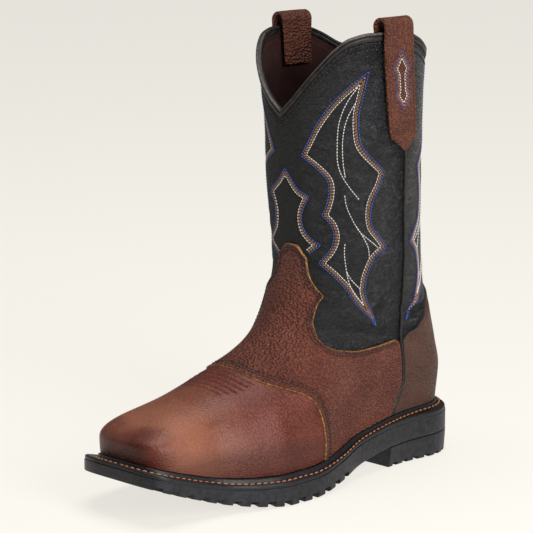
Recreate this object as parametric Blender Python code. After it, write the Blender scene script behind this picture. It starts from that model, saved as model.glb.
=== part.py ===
"""A western work boot for the left foot: a pull-on boot with a saddle vamp.

Metres, +Z up. The toe points to -Y and the outer side of the foot is +X. The
origin is the centre of the heel block's ground face.
"""

import math

import bmesh
import bpy
import numpy as np

# ---- Driving sizes --------------------------------------------------------

SOLE_LENGTH = 0.296  # heel's back to the toe's front
BALL_WIDTH = 0.114  # sole across the ball
SHAFT_HEIGHT = 0.300  # floor to the collar behind the pull straps
SHAFT_WIDTH = 0.1075  # shaft from side to side at the top
SHAFT_DEPTH = 0.1083  # shaft from front to back, half way up
VAMP_HEIGHT = 0.0905  # floor to the instep's ridge
HEEL_RISE = 0.0152  # heel seat's underside above the floor
TOE_SPRING = 0.0280  # toe's underside above the floor
HEEL_LENGTH = 0.0755  # heel block from back to breast

OUTSOLE = 0.0087  # outsole's thickness under the arch
MIDSOLE = 0.0045
WELT = 0.0033
RIB = 0.0030  # storm rib above the welt
RIB_WIDTH = 0.0034
INSOLE = 0.0030
UPPER_WALL = 0.0020
FOREPART_LEATHER = 0.0013
SADDLE_LEATHER = 0.0016
COUNTER_LEATHER = 0.0015
PIPING_RADIUS = 0.0011
BINDING = 0.0011  # thickness of the collar's binding
BINDING_DROP = 0.0042  # how far the binding reaches down the wall
STRAP_WIDTH = 0.0260
STRAP_LEATHER = 0.0024
STRAP_LOOP = 0.0088  # underside of a strap's loop above the collar
STRAP_EASE = 0.0008  # how far a strap stands off the binding
STRAP_OUTSIDE = 0.0875  # how far a strap reaches down outside
STRAP_INSIDE = 0.046  # and inside
GAP = 0.0003  # between pieces that touch
FIT = 0.0003  # added where a curved piece beds on another in short flats

NOTCH_PITCH = 0.0125  # along the forefoot's edge
NOTCH_WIDTH = 0.0062
NOTCH_HEIGHT = 0.0040
NOTCH_DEPTH = 0.0090
HEEL_NOTCH_PITCH = 0.0107
HEEL_NOTCH_WIDTH = 0.0052
HEEL_NOTCH_HEIGHT = 0.0026
GROOVE = 0.0045  # groove between two lugs of the tread

COLUMNS = 48  # points round the upper
ROWS = 22  # levels from the welt to the collar

# ---- Tables: every column is a share of the size named beside it -----------

# half widths of the sole: shares of BALL_WIDTH, along SOLE_LENGTH
OUTLINE = {
    "along": (0.00, 0.10, 0.19, 0.28, 0.37, 0.46, 0.55, 0.63, 0.71, 0.80, 0.90, 1.00),
    "outer": (0.337, 0.330, 0.317, 0.335, 0.366, 0.442, 0.488, 0.490, 0.445, 0.368, 0.347, 0.375),
    "inner": (0.345, 0.352, 0.350, 0.335, 0.322, 0.328, 0.375, 0.450, 0.497, 0.480, 0.440, 0.352),
}
TOE_ROUND = 0.13  # share of SOLE_LENGTH that the toe's rounding takes
TOE_SQUARE = 3.7  # exponent: higher is squarer
HEEL_ROUND = 0.125
HEEL_SQUARE = 2.25

# underside of the outsole: shares of HEEL_RISE and of TOE_SPRING
TREAD = {
    "along": (0.00, 0.12, 0.25, 0.34, 0.44, 0.52, 0.57, 0.64, 0.70, 0.78, 0.88, 1.00),
    "heel": (1.06, 1.02, 0.93, 0.72, 0.37, 0.10, 0.00, 0.00, 0.00, 0.00, 0.00, 0.00),
    "toe": (0.00, 0.00, 0.00, 0.00, 0.00, 0.00, 0.00, 0.00, 0.06, 0.21, 0.54, 1.00),
}

# the layers thin toward the toe: shares of OUTSOLE, MIDSOLE and WELT
LAYERS = {
    "along": (0.00, 0.55, 0.64, 0.72, 0.80, 0.90, 1.00),
    "outsole": (1.00, 1.00, 0.96, 0.84, 0.70, 0.58, 0.50),
    "midsole": (1.00, 1.00, 0.98, 0.86, 0.75, 0.66, 0.60),
    "welt": (1.00, 1.00, 1.00, 0.97, 0.95, 0.92, 0.90),
}

# welt's visible ledge, metres: it is set by the stitching, not by the foot
LEDGE = {
    "along": (0.00, 0.30, 0.50, 0.70, 1.00),
    "outer": (0.0078, 0.0070, 0.0078, 0.0093, 0.0102),
    "inner": (0.0078, 0.0062, 0.0065, 0.0088, 0.0102),
}
TOE_LEDGE = 0.0108

# foot's upper surface: ridge height (share of VAMP_HEIGHT), ridge offset
# (share of BALL_WIDTH) and how square the section is
FOOT = {
    "along": (0.20, 0.42, 0.52, 0.60, 0.68, 0.76, 0.84, 0.92, 1.00),
    "height": (1.34, 1.33, 1.155, 0.988, 0.864, 0.770, 0.708, 0.648, 0.585),
    "ridge": (-0.020, -0.020, -0.020, -0.030, -0.035, -0.030, -0.020, -0.020, -0.020),
    "square": (2.20, 2.20, 2.15, 2.10, 2.10, 2.20, 2.35, 2.50, 2.50),
}
BULGE = 0.014  # height of the foot's widest line above the welt
FOOT_FULL = 1.03  # how much wider it is there
TUCK = 0.045  # how much the wall tucks in at the welt
SHANK_START = 0.20  # share of SOLE_LENGTH where the foot form begins
ROUND_START = 0.050

# shaft: back (share of SOLE_LENGTH), depth (of SHAFT_DEPTH) and the outer and
# inner half widths (of half SHAFT_WIDTH), up SHAFT_HEIGHT
SHAFT = {
    "along": (0.00, 0.11, 0.20, 0.27, 0.33, 0.39, 0.50, 0.62, 0.75, 1.05),
    "back": (0.028, 0.0245, 0.0195, 0.038, 0.058, 0.078, 0.097, 0.107, 0.121, 0.109),
    "depth": (1.385, 1.394, 1.380, 1.290, 1.187, 1.084, 0.974, 0.960, 0.924, 1.078),
    "outer": (0.475, 0.505, 0.575, 0.625, 0.675, 0.722, 0.80, 0.875, 0.95, 1.02),
    "inner": (0.485, 0.515, 0.585, 0.635, 0.675, 0.722, 0.80, 0.875, 0.95, 1.02),
}
SHAFT_SQUARE = 2.3
SHAFT_ROUND = 1.12  # end rounding as a share of the half width
BLEND = 0.022  # how softly the shaft runs into the foot

# collar: height as a share of SHAFT_HEIGHT, by share of the half turn from the
# front dip to the back
COLLAR = {
    "along": (0.0, 0.057, 0.119, 0.183, 0.229, 0.27, 0.33, 0.40, 0.472, 0.515, 0.593, 0.75, 1.0),
    "height": (0.83, 0.858, 0.897, 0.943, 0.978, 1.0, 1.010, 1.010, 1.003, 0.992, 0.966, 0.94, 0.93),
}
COLLAR_TURN = -0.14  # the front dip lies a little toward the inner side, radians

# levels of the wall between the welt and the collar: height behind the heel
# and at the toe end of each level's plane (shares of SHAFT_HEIGHT), and the
# centre and half spread of the rays (shares of SOLE_LENGTH)
LEVELS = {
    "along": (0.00, 0.20, 0.25, 0.45, 0.50, 0.70, 0.75, 1.00),
    "back": (0.117, 0.245, 0.283, 0.450, 0.500, 0.690, 0.750, 1.000),
    "front": (0.107, 0.300, 0.350, 0.545, 0.593, 0.745, 0.783, 1.000),
    "centre": (0.500, 0.440, 0.415, 0.290, 0.278, 0.240, 0.237, 0.225),
    "spread": (0.480, 0.440, 0.400, 0.240, 0.230, 0.190, 0.190, 0.190),
}
SIDE_SPREAD = 0.155  # share of SOLE_LENGTH

# side views of the overlays' edges: shares of SOLE_LENGTH and SHAFT_HEIGHT
SEAM_LINE = {
    "up": (0.0, 0.124, 0.155, 0.195, 0.247, 0.318, 0.385, 0.496, 0.628, 0.742, 0.82, 0.90, 1.0),
    "along": (0.23, 0.228, 0.213, 0.2, 0.207, 0.225, 0.23, 0.238, 0.254, 0.268, 0.278, 0.288, 0.298),
}
SADDLE_FRONT = {
    "along": (0.655, 0.652, 0.648, 0.634, 0.606, 0.566, 0.541, 0.527, 0.519, 0.515, 0.513),
    "up": (0.400, 0.300, 0.268, 0.255, 0.243, 0.229, 0.212, 0.184, 0.147, 0.110, -0.020),
}
SADDLE_TOP = {
    "along": (0.475, 0.465, 0.461, 0.456, 0.453, 0.450, 0.462, 0.476, 0.470, 0.45, 0.40, 0.32, 0.20),
    "up": (0.540, 0.536, 0.525, 0.503, 0.465, 0.430, 0.386, 0.345, 0.323, 0.309, 0.298, 0.292, 0.304),
}
COUNTER_TOP = {
    "along": (0.260, 0.225, 0.180, 0.142, 0.112, 0.080, 0.030, -0.050),
    "up": (0.296, 0.300, 0.312, 0.344, 0.382, 0.420, 0.455, 0.480),
}


# ---- Reading the tables ---------------------------------------------------


def ease(table, column, share, by="along"):
    """Read a table's column at a share: a smooth curve with no overshoot."""
    x = np.array(table[by], float)
    y = np.array(table[column], float)
    step = np.diff(x)
    slope = np.diff(y) / step
    tangent = np.zeros_like(y)
    tangent[0] = slope[0]
    tangent[-1] = slope[-1]
    before = slope[:-1]
    after = slope[1:]
    weight_a = 2 * step[1:] + step[:-1]
    weight_b = step[1:] + 2 * step[:-1]
    same = before * after > 0
    safe_before = np.where(same, before, 1.0)
    safe_after = np.where(same, after, 1.0)
    mean = (weight_a + weight_b) / (weight_a / safe_before + weight_b / safe_after)
    tangent[1:-1] = np.where(same, mean, 0.0)
    share = np.clip(share, x[0], x[-1])
    i = np.clip(np.searchsorted(x, share, side="right") - 1, 0, len(step) - 1)
    t = (share - x[i]) / step[i]
    start = (1 + 2 * t) * (1 - t) ** 2 * y[i] + t * (1 - t) ** 2 * step[i] * tangent[i]
    end = t * t * (3 - 2 * t) * y[i + 1] + t * t * (t - 1) * step[i] * tangent[i + 1]
    return start + end


def half_widths(s, inset=0.0):
    """Outer and inner half width of the sole at a distance s from its back."""
    share = s / SOLE_LENGTH
    toe = np.clip((share - 1 + TOE_ROUND) / TOE_ROUND, 0, 1)
    heel = np.clip((HEEL_ROUND - share) / HEEL_ROUND, 0, 1)
    ends = (1 - toe**TOE_SQUARE) ** (1 / TOE_SQUARE)
    ends = ends * (1 - heel**HEEL_SQUARE) ** (1 / HEEL_SQUARE)
    outer = ease(OUTLINE, "outer", share) * BALL_WIDTH * ends
    inner = ease(OUTLINE, "inner", share) * BALL_WIDTH * ends
    return np.maximum(outer - inset, 0.001), np.maximum(inner - inset, 0.001)


def underside(s):
    share = s / SOLE_LENGTH
    return ease(TREAD, "heel", share) * HEEL_RISE + ease(TREAD, "toe", share) * TOE_SPRING


def outsole_top(s):
    return underside(s) + ease(LAYERS, "outsole", s / SOLE_LENGTH) * OUTSOLE


def midsole_top(s):
    return outsole_top(s) + GAP + ease(LAYERS, "midsole", s / SOLE_LENGTH) * MIDSOLE


def welt_top(s):
    return midsole_top(s) + GAP + ease(LAYERS, "welt", s / SOLE_LENGTH) * WELT


# ---- The boot's outer form: zero on the upper's skin, below zero inside -----


def foot_form(s, x, z):
    """Foot from the shank to the toe, over the welt's inner line."""
    share = s / SOLE_LENGTH
    ridge = ease(FOOT, "ridge", share) * BALL_WIDTH
    height = ease(FOOT, "height", share) * VAMP_HEIGHT
    square = ease(FOOT, "square", share)
    outer = ease(OUTLINE, "outer", share) * BALL_WIDTH - ease(LEDGE, "outer", share)
    inner = ease(OUTLINE, "inner", share) * BALL_WIDTH - ease(LEDGE, "inner", share)
    widest = welt_top(s) + BULGE
    width = np.where(x > ridge, outer - ridge, inner + ridge)
    tuck = 1 - TUCK * np.clip((widest - z) / BULGE, 0, 1.6) ** 2
    across = np.abs(x - ridge) / (width * tuck * FOOT_FULL)
    toe_length = TOE_ROUND * SOLE_LENGTH
    toe_start = SOLE_LENGTH - TOE_LEDGE - toe_length
    ahead = np.clip((s - toe_start) / toe_length, 0, None) / np.sqrt(tuck)
    behind = np.clip((SHANK_START * SOLE_LENGTH + ROUND_START - s) / ROUND_START, 0, None)
    rise = np.clip((z - widest) / (height - widest), 0, None)
    plan = (across**3.3 + ahead**3.3 + behind**3.3) ** (1 / 3.3)
    return ((plan**square + rise**square) ** (1 / square) - 1) * 0.045


def shaft_form(s, x, z):
    """Shaft from the heel seat to the collar."""
    share = z / SHAFT_HEIGHT
    back = ease(SHAFT, "back", share) * SOLE_LENGTH
    depth = ease(SHAFT, "depth", share) * SHAFT_DEPTH
    outer = ease(SHAFT, "outer", share) * SHAFT_WIDTH / 2
    inner = ease(SHAFT, "inner", share) * SHAFT_WIDTH / 2
    width = np.where(x > 0, outer, inner)
    end = np.minimum(depth / 2, SHAFT_ROUND * (outer + inner) / 2)
    along = np.maximum((back + end - s) / end, (s - back - depth + end) / end)
    along = np.clip(along, 0, None)
    power = SHAFT_SQUARE
    return (((np.abs(x) / width) ** power + along**power) ** (1 / power) - 1) * 0.045


def boot_form(s, x, z):
    """The two forms run into each other softly at the instep and the ankle."""
    foot = foot_form(s, x, z)
    shaft = shaft_form(s, x, z)
    mix = np.clip(0.5 + 0.5 * (shaft - foot) / BLEND, 0, 1)
    return shaft * (1 - mix) + foot * mix - BLEND * mix * (1 - mix)


# ---- The wall as a grid of levels and columns ------------------------------


def collar_height(angle):
    turn = (angle + np.pi) % (2 * np.pi) - np.pi - COLLAR_TURN
    half = np.where(turn > 0, np.pi - COLLAR_TURN, np.pi + COLLAR_TURN)
    return SHAFT_HEIGHT * ease(COLLAR, "height", np.abs(turn) / half)


def level_height(level, angle, s):
    """Height of a level at a distance s: it follows the welt, then the shaft."""
    base = welt_top(s) + RIB + 0.001
    back = ease(LEVELS, "back", level) * SHAFT_HEIGHT
    front = ease(LEVELS, "front", level) * SHAFT_HEIGHT
    plane = back + (front - back) * np.clip(s / SOLE_LENGTH, -0.2, 1) / 0.75
    low = np.clip(level / 0.25, 0, 1)
    low = low * low * (3 - 2 * low)
    height = base * (1 - low) + plane * low
    high = np.clip((level - 0.5) / 0.5, 0, 1)
    high = high * high * (3 - 2 * high)
    return height + (collar_height(angle) - SHAFT_HEIGHT) * high


def rim_height(level, angle, s):
    """The wall's lower rim, hidden behind the welt."""
    return midsole_top(s) + GAP


def on_skin(angle, level, height=level_height):
    """Where the ray of an angle leaves the form, at a level: s, x, z."""
    centre = ease(LEVELS, "centre", level) * SOLE_LENGTH
    spread = ease(LEVELS, "spread", level) * SOLE_LENGTH
    side = SIDE_SPREAD * SOLE_LENGTH
    near = np.full_like(angle + level, 0.02)
    far = np.full_like(angle + level, 1.9)
    for _ in range(34):
        middle = (near + far) / 2
        s = centre + middle * spread * np.cos(angle)
        x = middle * side * np.sin(angle)
        inside = boot_form(s, x, height(level, angle, s)) < 0
        near = np.where(inside, middle, near)
        far = np.where(inside, far, middle)
    s = centre + near * spread * np.cos(angle)
    x = near * side * np.sin(angle)
    return np.stack([s, x, height(level, angle, s)], -1)


def outward(points):
    """Unit normals of the form at points (s, x, z)."""
    step = 0.0004
    slopes = []
    for axis in range(3):
        ahead = points.copy()
        behind = points.copy()
        ahead[..., axis] += step
        behind[..., axis] -= step
        slopes.append(boot_form(*np.moveaxis(ahead, -1, 0)) - boot_form(*np.moveaxis(behind, -1, 0)))
    normal = np.stack(slopes, -1)
    return normal / np.linalg.norm(normal, axis=-1, keepdims=True)


def to_world(points):
    """(s, x, z) to the object's frame."""
    s, x, z = np.moveaxis(np.asarray(points, float), -1, 0)
    return np.stack([x, HEEL_LENGTH / 2 - s, z], -1)


def column_angles():
    """Angles of the columns: the same on both sides, closer at the corners."""
    turn = np.linspace(0, np.pi, 181)
    walked = turn / np.pi
    for side in (1, -1):
        line = on_skin(side * turn, np.zeros_like(turn))
        steps = np.linalg.norm(np.diff(line, axis=0), axis=1)
        walked = walked + 0.8 * np.concatenate([[0], np.cumsum(steps)]) / steps.sum()
    half = np.interp(np.linspace(0, walked[-1], COLUMNS // 2 + 1), walked, turn)
    return np.concatenate([half, 2 * np.pi - half[-2:0:-1]])


ANGLES = column_angles()
SPACING = np.linspace(0, 1, ROWS)
WALL = on_skin(ANGLES[None, :], SPACING[:, None])
WALL_NORMAL = outward(WALL)
LOWER_RIM = on_skin(ANGLES, 0.0, rim_height)
LOWER_NORMAL = outward(LOWER_RIM)
LOWER_NORMAL[:, 2] = 0.0
LOWER_NORMAL /= np.linalg.norm(LOWER_NORMAL, axis=1, keepdims=True)


def layer(offset, first=0, rim=False):
    """The wall's grid moved along its normals, as rings from low to high."""
    rings = list(WALL[first:] + WALL_NORMAL[first:] * offset)
    if rim:
        rings.insert(0, LOWER_RIM + LOWER_NORMAL * offset)
    return rings


# ---- Blender helpers ------------------------------------------------------


def clear_scene():
    for old in list(bpy.data.objects):
        bpy.data.objects.remove(old, do_unlink=True)


def new_collection(name):
    group = bpy.data.collections.new(name)
    bpy.context.scene.collection.children.link(group)
    return group


def material(name, colour, roughness, metallic=0.0):
    finish = bpy.data.materials.new(name)
    finish.use_nodes = True
    shader = finish.node_tree.nodes["Principled BSDF"]
    shader.inputs["Base Color"].default_value = (*colour, 1.0)
    shader.inputs["Roughness"].default_value = roughness
    shader.inputs["Metallic"].default_value = metallic
    finish.diffuse_color = (*colour, 1.0)
    return finish


def add_mesh(name, points, faces, finish=None, group=None, smooth=True):
    mesh = bpy.data.meshes.new(name)
    mesh.from_pydata([tuple(p) for p in points], [], faces)
    work = bmesh.new()
    work.from_mesh(mesh)
    bmesh.ops.recalc_face_normals(work, faces=work.faces)
    work.to_mesh(mesh)
    work.free()
    if smooth:
        mesh.shade_smooth()
        mesh.set_sharp_from_angle(angle=math.radians(35))
    piece = bpy.data.objects.new(name, mesh)
    if finish:
        piece.data.materials.append(finish)
    (group or PARTS).objects.link(piece)
    return piece


def tube(name, rings, finish=None, group=None, closed=False):
    """Loft through closed rings; its ends are capped unless it closes on itself."""
    rings = [np.asarray(ring) for ring in rings]
    around = len(rings[0])
    points = np.concatenate(rings)
    faces = []
    for i in range(len(rings) if closed else len(rings) - 1):
        here = i * around
        there = (i + 1) % len(rings) * around
        for j in range(around):
            k = (j + 1) % around
            faces.append((here + j, here + k, there + k, there + j))
    if not closed:
        faces.append(tuple(range(around))[::-1])
        faces.append(tuple(range(len(points) - around, len(points))))
    return add_mesh(name, points, faces, finish, group)


def shell(name, outer, inner, finish=None, group=None):
    """A wall between two stacks of rings, open at both ends.

    Every wall splits its quads the same way, so two layers stay parallel.
    """
    points = np.concatenate([to_world(ring) for ring in outer + inner])
    count = len(outer)
    faces = []
    for i in range(count - 1):
        for j in range(COLUMNS):
            k = (j + 1) % COLUMNS
            for stack in (0, count):
                low = (stack + i) * COLUMNS
                high = low + COLUMNS
                first = (low + j, low + k, high + k)
                second = (low + j, high + k, high + j)
                faces += [first, second] if stack == 0 else [first[::-1], second[::-1]]
    for i in (0, count - 1):
        for j in range(COLUMNS):
            k = (j + 1) % COLUMNS
            edge = (i * COLUMNS + j, i * COLUMNS + k)
            back = ((count + i) * COLUMNS + k, (count + i) * COLUMNS + j)
            faces.append(edge + back)
    return add_mesh(name, points, faces, finish, group)


def flat_cutter(name, outline):
    """A side view outline (s, z), as a block across the whole boot."""
    curve = bpy.data.curves.new(name, "CURVE")
    curve.dimensions = "2D"
    curve.fill_mode = "BOTH"
    curve.extrude = SHAFT_WIDTH
    spline = curve.splines.new("POLY")
    spline.points.add(len(outline) - 1)
    for point, (s, z) in zip(spline.points, outline):
        point.co = (HEEL_LENGTH / 2 - s, z, 0, 1)
    spline.use_cyclic_u = True
    source = bpy.data.objects.new(name + "_curve", curve)
    source.rotation_euler = (math.pi / 2, 0, math.pi / 2)
    CUTTERS.objects.link(source)
    bpy.context.view_layer.update()
    mesh = bpy.data.meshes.new_from_object(source.evaluated_get(bpy.context.evaluated_depsgraph_get()))
    work = bmesh.new()
    work.from_mesh(mesh)
    bmesh.ops.remove_doubles(work, verts=work.verts, dist=0.00001)
    bmesh.ops.recalc_face_normals(work, faces=work.faces)
    work.to_mesh(mesh)
    work.free()
    block = bpy.data.objects.new(name, mesh)
    block.matrix_world = source.matrix_world
    bpy.data.objects.remove(source, do_unlink=True)
    CUTTERS.objects.link(block)
    hide_cutter(block)
    return block


def hide_cutter(block):
    block.hide_render = True
    block.display_type = "WIRE"


def cut(piece, cutter, operation="DIFFERENCE", solver="EXACT"):
    change = piece.modifiers.new(operation.title(), "BOOLEAN")
    change.operation = operation
    change.object = cutter
    change.solver = solver
    return change


def boxes(name, places):
    """Boxes at (centre, size, turn about Z, tilt about X), as one cutter."""
    work = bmesh.new()
    for centre, size, turn, tilt in places:
        made = bmesh.ops.create_cube(work, size=1.0)["verts"]
        bmesh.ops.scale(work, vec=size, verts=made)
        for angle, axis in ((tilt, "X"), (turn, "Z")):
            bmesh.ops.rotate(work, cent=(0, 0, 0), matrix=turned(angle, axis), verts=made)
        bmesh.ops.translate(work, vec=centre, verts=made)
    mesh = bpy.data.meshes.new(name)
    work.to_mesh(mesh)
    work.free()
    block = bpy.data.objects.new(name, mesh)
    CUTTERS.objects.link(block)
    hide_cutter(block)
    return block


def turned(angle, axis):
    from mathutils import Matrix

    return Matrix.Rotation(angle, 3, axis)


# ---- Sole -----------------------------------------------------------------

# the outsole's side from the ground up: inset (metres) and share of height
SOLE_SIDE = (
    (0.0010, 0.00),
    (0.0000, 0.10),
    (0.0000, 0.50),
    (-0.0008, 0.56),
    (-0.0008, 0.68),
    (0.0000, 0.74),
    (0.0000, 1.00),
)
PLATE_SIDE = ((0.0006, 0.0), (0.0006, 1.0))
HEEL_SIDE = (
    (0.0022, 0.00),
    (0.0010, 0.06),
    (0.0004, 0.50),
    (-0.0004, 0.80),
    (-0.0004, 1.00),
)


TIP = 0.0005  # the outline is closed this far from its very ends


def stations(first, last, count):
    """Distances from the heel's back, closer together at both ends."""
    turn = np.linspace(0, np.pi, count)
    return first + (last - first) * (1 - np.cos(turn)) / 2


def sole_plate(name, low, high, side, finish, last=None, count=50):
    """A plate of the sole's outline between two heights, lofted along it."""
    last = SOLE_LENGTH - TIP if last is None else last
    rings = []
    for s in stations(TIP, last, count):
        outer, inner = half_widths(s)
        bottom = low(s)
        top = high(s)
        ring = []
        for inset, share in side:
            ring.append((s, outer - inset, bottom + (top - bottom) * share))
        for inset, share in side[::-1]:
            ring.append((s, -inner + inset, bottom + (top - bottom) * share))
        rings.append(to_world(ring))
    return tube(name, rings, finish)


def edge_walk(first, last, side):
    """Points and directions at even steps along the sole's edge."""
    s = stations(TIP, SOLE_LENGTH - TIP, 400)
    outer, inner = half_widths(s)
    x = outer if side > 0 else -inner
    length = np.concatenate([[0], np.cumsum(np.hypot(np.diff(s), np.diff(x)))])
    start = np.interp(first, s, length)
    end = np.interp(last, s, length)
    return s, x, length, start, end


def edge_notches(first, last, side, pitch, width, height, depth, base, thins=True):
    """Boxes that cut the tread's edge, square to it."""
    s, x, length, start, end = edge_walk(first, last, side)
    count = int((end - start) / pitch) + 1
    places = []
    for i in range(count):
        here = start + i * pitch
        si = np.interp(here, length, s)
        xi = np.interp(here, length, x)
        ds = np.interp(here + 0.001, length, s) - np.interp(here - 0.001, length, s)
        dx = np.interp(here + 0.001, length, x) - np.interp(here - 0.001, length, x)
        size = math.hypot(ds, dx)
        # inward across the edge, in the object's frame
        inward = np.array([-ds / size, -dx / size]) * (1 if side > 0 else -1)
        middle = np.array([xi, HEEL_LENGTH / 2 - si]) + inward * (depth / 2 - 0.003)
        turn = math.atan2(-ds / size, dx / size)
        tall = height * (float(ease(LAYERS, "outsole", si / SOLE_LENGTH)) if thins else 1.0)
        z = float(base(si)) + (tall - 0.006) / 2
        places.append(((middle[0], middle[1], z), (width, depth + 0.006, tall + 0.006), turn, 0.0))
    return places


def build_sole():
    rubber = material("sole_rubber", (0.022, 0.020, 0.024), 0.62)
    heel_rubber = material("heel_rubber", (0.020, 0.018, 0.022), 0.60)
    mid = material("midsole_rubber", (0.013, 0.012, 0.014), 0.55)
    outsole = sole_plate("outsole", underside, outsole_top, SOLE_SIDE, rubber)
    toe_s = SOLE_LENGTH * 0.985
    places = edge_notches(
        SOLE_LENGTH * 0.44, toe_s, 1, NOTCH_PITCH, NOTCH_WIDTH, NOTCH_HEIGHT, NOTCH_DEPTH, underside
    )
    places += edge_notches(
        SOLE_LENGTH * 0.44, toe_s, -1, NOTCH_PITCH, NOTCH_WIDTH, NOTCH_HEIGHT, NOTCH_DEPTH, underside
    )
    # grooves between the lugs of the forefoot, level with the ground
    grooves = []
    for share in (0.50, 0.555, 0.665, 0.72, 0.775, 0.83, 0.885):
        s = share * SOLE_LENGTH
        outer, inner = half_widths(s)
        width = outer + inner - 2 * (NOTCH_DEPTH + 0.007)
        z = float(underside(s)) + (0.0028 - 0.006) / 2
        slope = math.atan(float(underside(s + 0.003) - underside(s - 0.003)) / 0.006)
        centre = ((outer - inner) / 2, HEEL_LENGTH / 2 - s, z)
        grooves.append((centre, (width, GROOVE, 0.0088), 0.0, -slope))
    cut(outsole, boxes("outsole_notches", places))
    cut(outsole, boxes("outsole_grooves", grooves))

    def seat(s):
        return underside(s) - GAP

    def floor(s):
        return 0.0 * s

    heel = sole_plate("heel_block", floor, seat, HEEL_SIDE, heel_rubber, last=HEEL_LENGTH, count=26)
    places = []
    for side in (1, -1):
        places += edge_notches(
            HEEL_LENGTH * 0.22,
            HEEL_LENGTH * 0.93,
            side,
            HEEL_NOTCH_PITCH,
            HEEL_NOTCH_WIDTH,
            HEEL_NOTCH_HEIGHT,
            NOTCH_DEPTH * 0.8,
            floor,
            thins=False,
        )
    cut(heel, boxes("heel_notches", places))

    def low(s):
        return outsole_top(s) + GAP

    sole_plate("midsole", low, midsole_top, PLATE_SIDE, mid, count=44)


def ray_outline(angle, inset):
    """Where a ray from the welt's middle meets the sole's outline."""
    centre = 0.5 * SOLE_LENGTH
    near = np.full_like(angle, 0.0)
    far = np.full_like(angle, SOLE_LENGTH)
    for _ in range(40):
        middle = (near + far) / 2
        s = centre + middle * np.cos(angle) * 1.0
        x = middle * np.sin(angle) * RAY_SQUASH
        ok = (s > 0.0005) & (s < SOLE_LENGTH - 0.0007)
        outer, inner = half_widths(np.clip(s, 0.0005, SOLE_LENGTH - 0.0007))
        inside = ok & (x < outer) & (x > -inner)
        near = np.where(inside, middle, near)
        far = np.where(inside, far, middle)
    s = centre + near * np.cos(angle)
    x = near * np.sin(angle) * RAY_SQUASH
    length = np.hypot(s - centre, x)
    keep = 1 - inset / np.maximum(length, 0.02)
    return centre + (s - centre) * keep, x * keep


RAY_SQUASH = SIDE_SPREAD / 0.48


def build_welt():
    finish = material("welt_rubber", (0.016, 0.015, 0.018), 0.5)
    s_out, x_out = ray_outline(ANGLES, 0.0008)
    top_in = LOWER_RIM + LOWER_NORMAL * (GAP + FIT)
    rings = []
    rib_in = WALL[0] + WALL_NORMAL[0] * (GAP + FIT)
    for i in range(COLUMNS):
        s0, x0 = top_in[i, :2]
        s1, x1 = s_out[i], x_out[i]
        reach = math.hypot(s1 - s0, x1 - x0)
        across = np.array([(s1 - s0) / reach, (x1 - x0) / reach])
        inner_top = np.array([max(0.0, float(np.dot(rib_in[i, :2] - top_in[i, :2], across))), 0])[0]
        z0 = float(midsole_top(s0)) + GAP + FIT
        z1 = float(midsole_top(s1)) + GAP + FIT
        t0 = float(welt_top(s0))
        t1 = float(welt_top(s1))

        def at(distance, height, drop=0.0):
            share = distance / reach
            z_low = z0 + (z1 - z0) * share
            z_high = t0 + (t1 - t0) * share
            return (
                s0 + across[0] * distance,
                x0 + across[1] * distance,
                z_low + (z_high - z_low) * height + drop,
            )

        start = inner_top
        rings.append(
            to_world(
                [
                    at(0.0, 0.0),
                    at(reach, 0.0),
                    at(reach, 0.85),
                    at(reach - 0.0006, 1.0),
                    at(start + RIB_WIDTH + 0.0006, 1.0),
                    at(start + RIB_WIDTH, 1.0, RIB * 0.75),
                    at(start + RIB_WIDTH * 0.62, 1.0, RIB),
                    at(start + RIB_WIDTH * 0.28, 1.0, RIB),
                    at(start, 1.0, RIB * 0.7),
                    at(start * 0.6, 1.0, 0.0),
                ]
            )
        )
    tube("welt", rings, finish, closed=True)


def build_insole():
    finish = material("insole_textile", (0.10, 0.06, 0.045), 0.9)
    edge = LOWER_RIM - LOWER_NORMAL * (UPPER_WALL + GAP + 0.0006)
    half = COLUMNS // 2
    rings = []
    for i in range(1, half):
        a = edge[i]
        b = edge[COLUMNS - i]
        ring = []
        for point in (a, b):
            ring.append((point[0], point[1], float(midsole_top(point[0])) + GAP + FIT))
        for point in (b, a):
            ring.append((point[0], point[1], float(midsole_top(point[0])) + GAP + FIT + INSOLE))
        rings.append(to_world(ring))
    tube("insole", rings, finish)


# ---- Upper and what is sewn to it ------------------------------------------


def build_upper():
    leather = material("shaft_leather", (0.045, 0.045, 0.050), 0.55)
    outer = layer(0.0, rim=True)
    inner = layer(-UPPER_WALL, rim=True)
    shell("upper", outer, inner, leather)


def overlay(name, thickness, outline, finish):
    """A leather cut from between two layers of the wall by a side outline."""
    skin = layer(GAP + thickness)
    lining = layer(GAP)
    piece = shell(name, skin[:CUT_ROWS], lining[:CUT_ROWS], finish)
    cut(piece, flat_cutter(name + "_outline", outline), "INTERSECT", "MANIFOLD")
    return piece


CUT_ROWS = int(ROWS * 0.80)  # the overlays are cut from the wall's lower rings


def edge_line(table, shift_along=0.0, count=26, by="up", column="along"):
    """A table's edge as (s, z) points in metres."""
    shares = np.linspace(table[by][0], table[by][-1], count)
    other = ease(table, column, shares, by)
    if by == "up":
        return [(a * SOLE_LENGTH + shift_along, u * SHAFT_HEIGHT) for a, u in zip(other, shares)]
    return [(a * SOLE_LENGTH + shift_along, u * SHAFT_HEIGHT) for a, u in zip(shares, other)]


def rows(table, shift_along=0.0, shift_up=0.0):
    """A table's rows as (s, z) points in metres, smoothed between them."""
    along = np.array(table["along"])
    up = np.array(table["up"])
    walk = np.arange(len(along), dtype=float)
    fine = np.linspace(0, len(along) - 1, 3 * (len(along) - 1) + 1)
    track = {"along": tuple(walk), "a": tuple(along), "u": tuple(up)}
    a = ease(track, "a", fine)
    u = ease(track, "u", fine)
    return [(p * SOLE_LENGTH + shift_along, q * SHAFT_HEIGHT + shift_up) for p, q in zip(a, u)]


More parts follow.
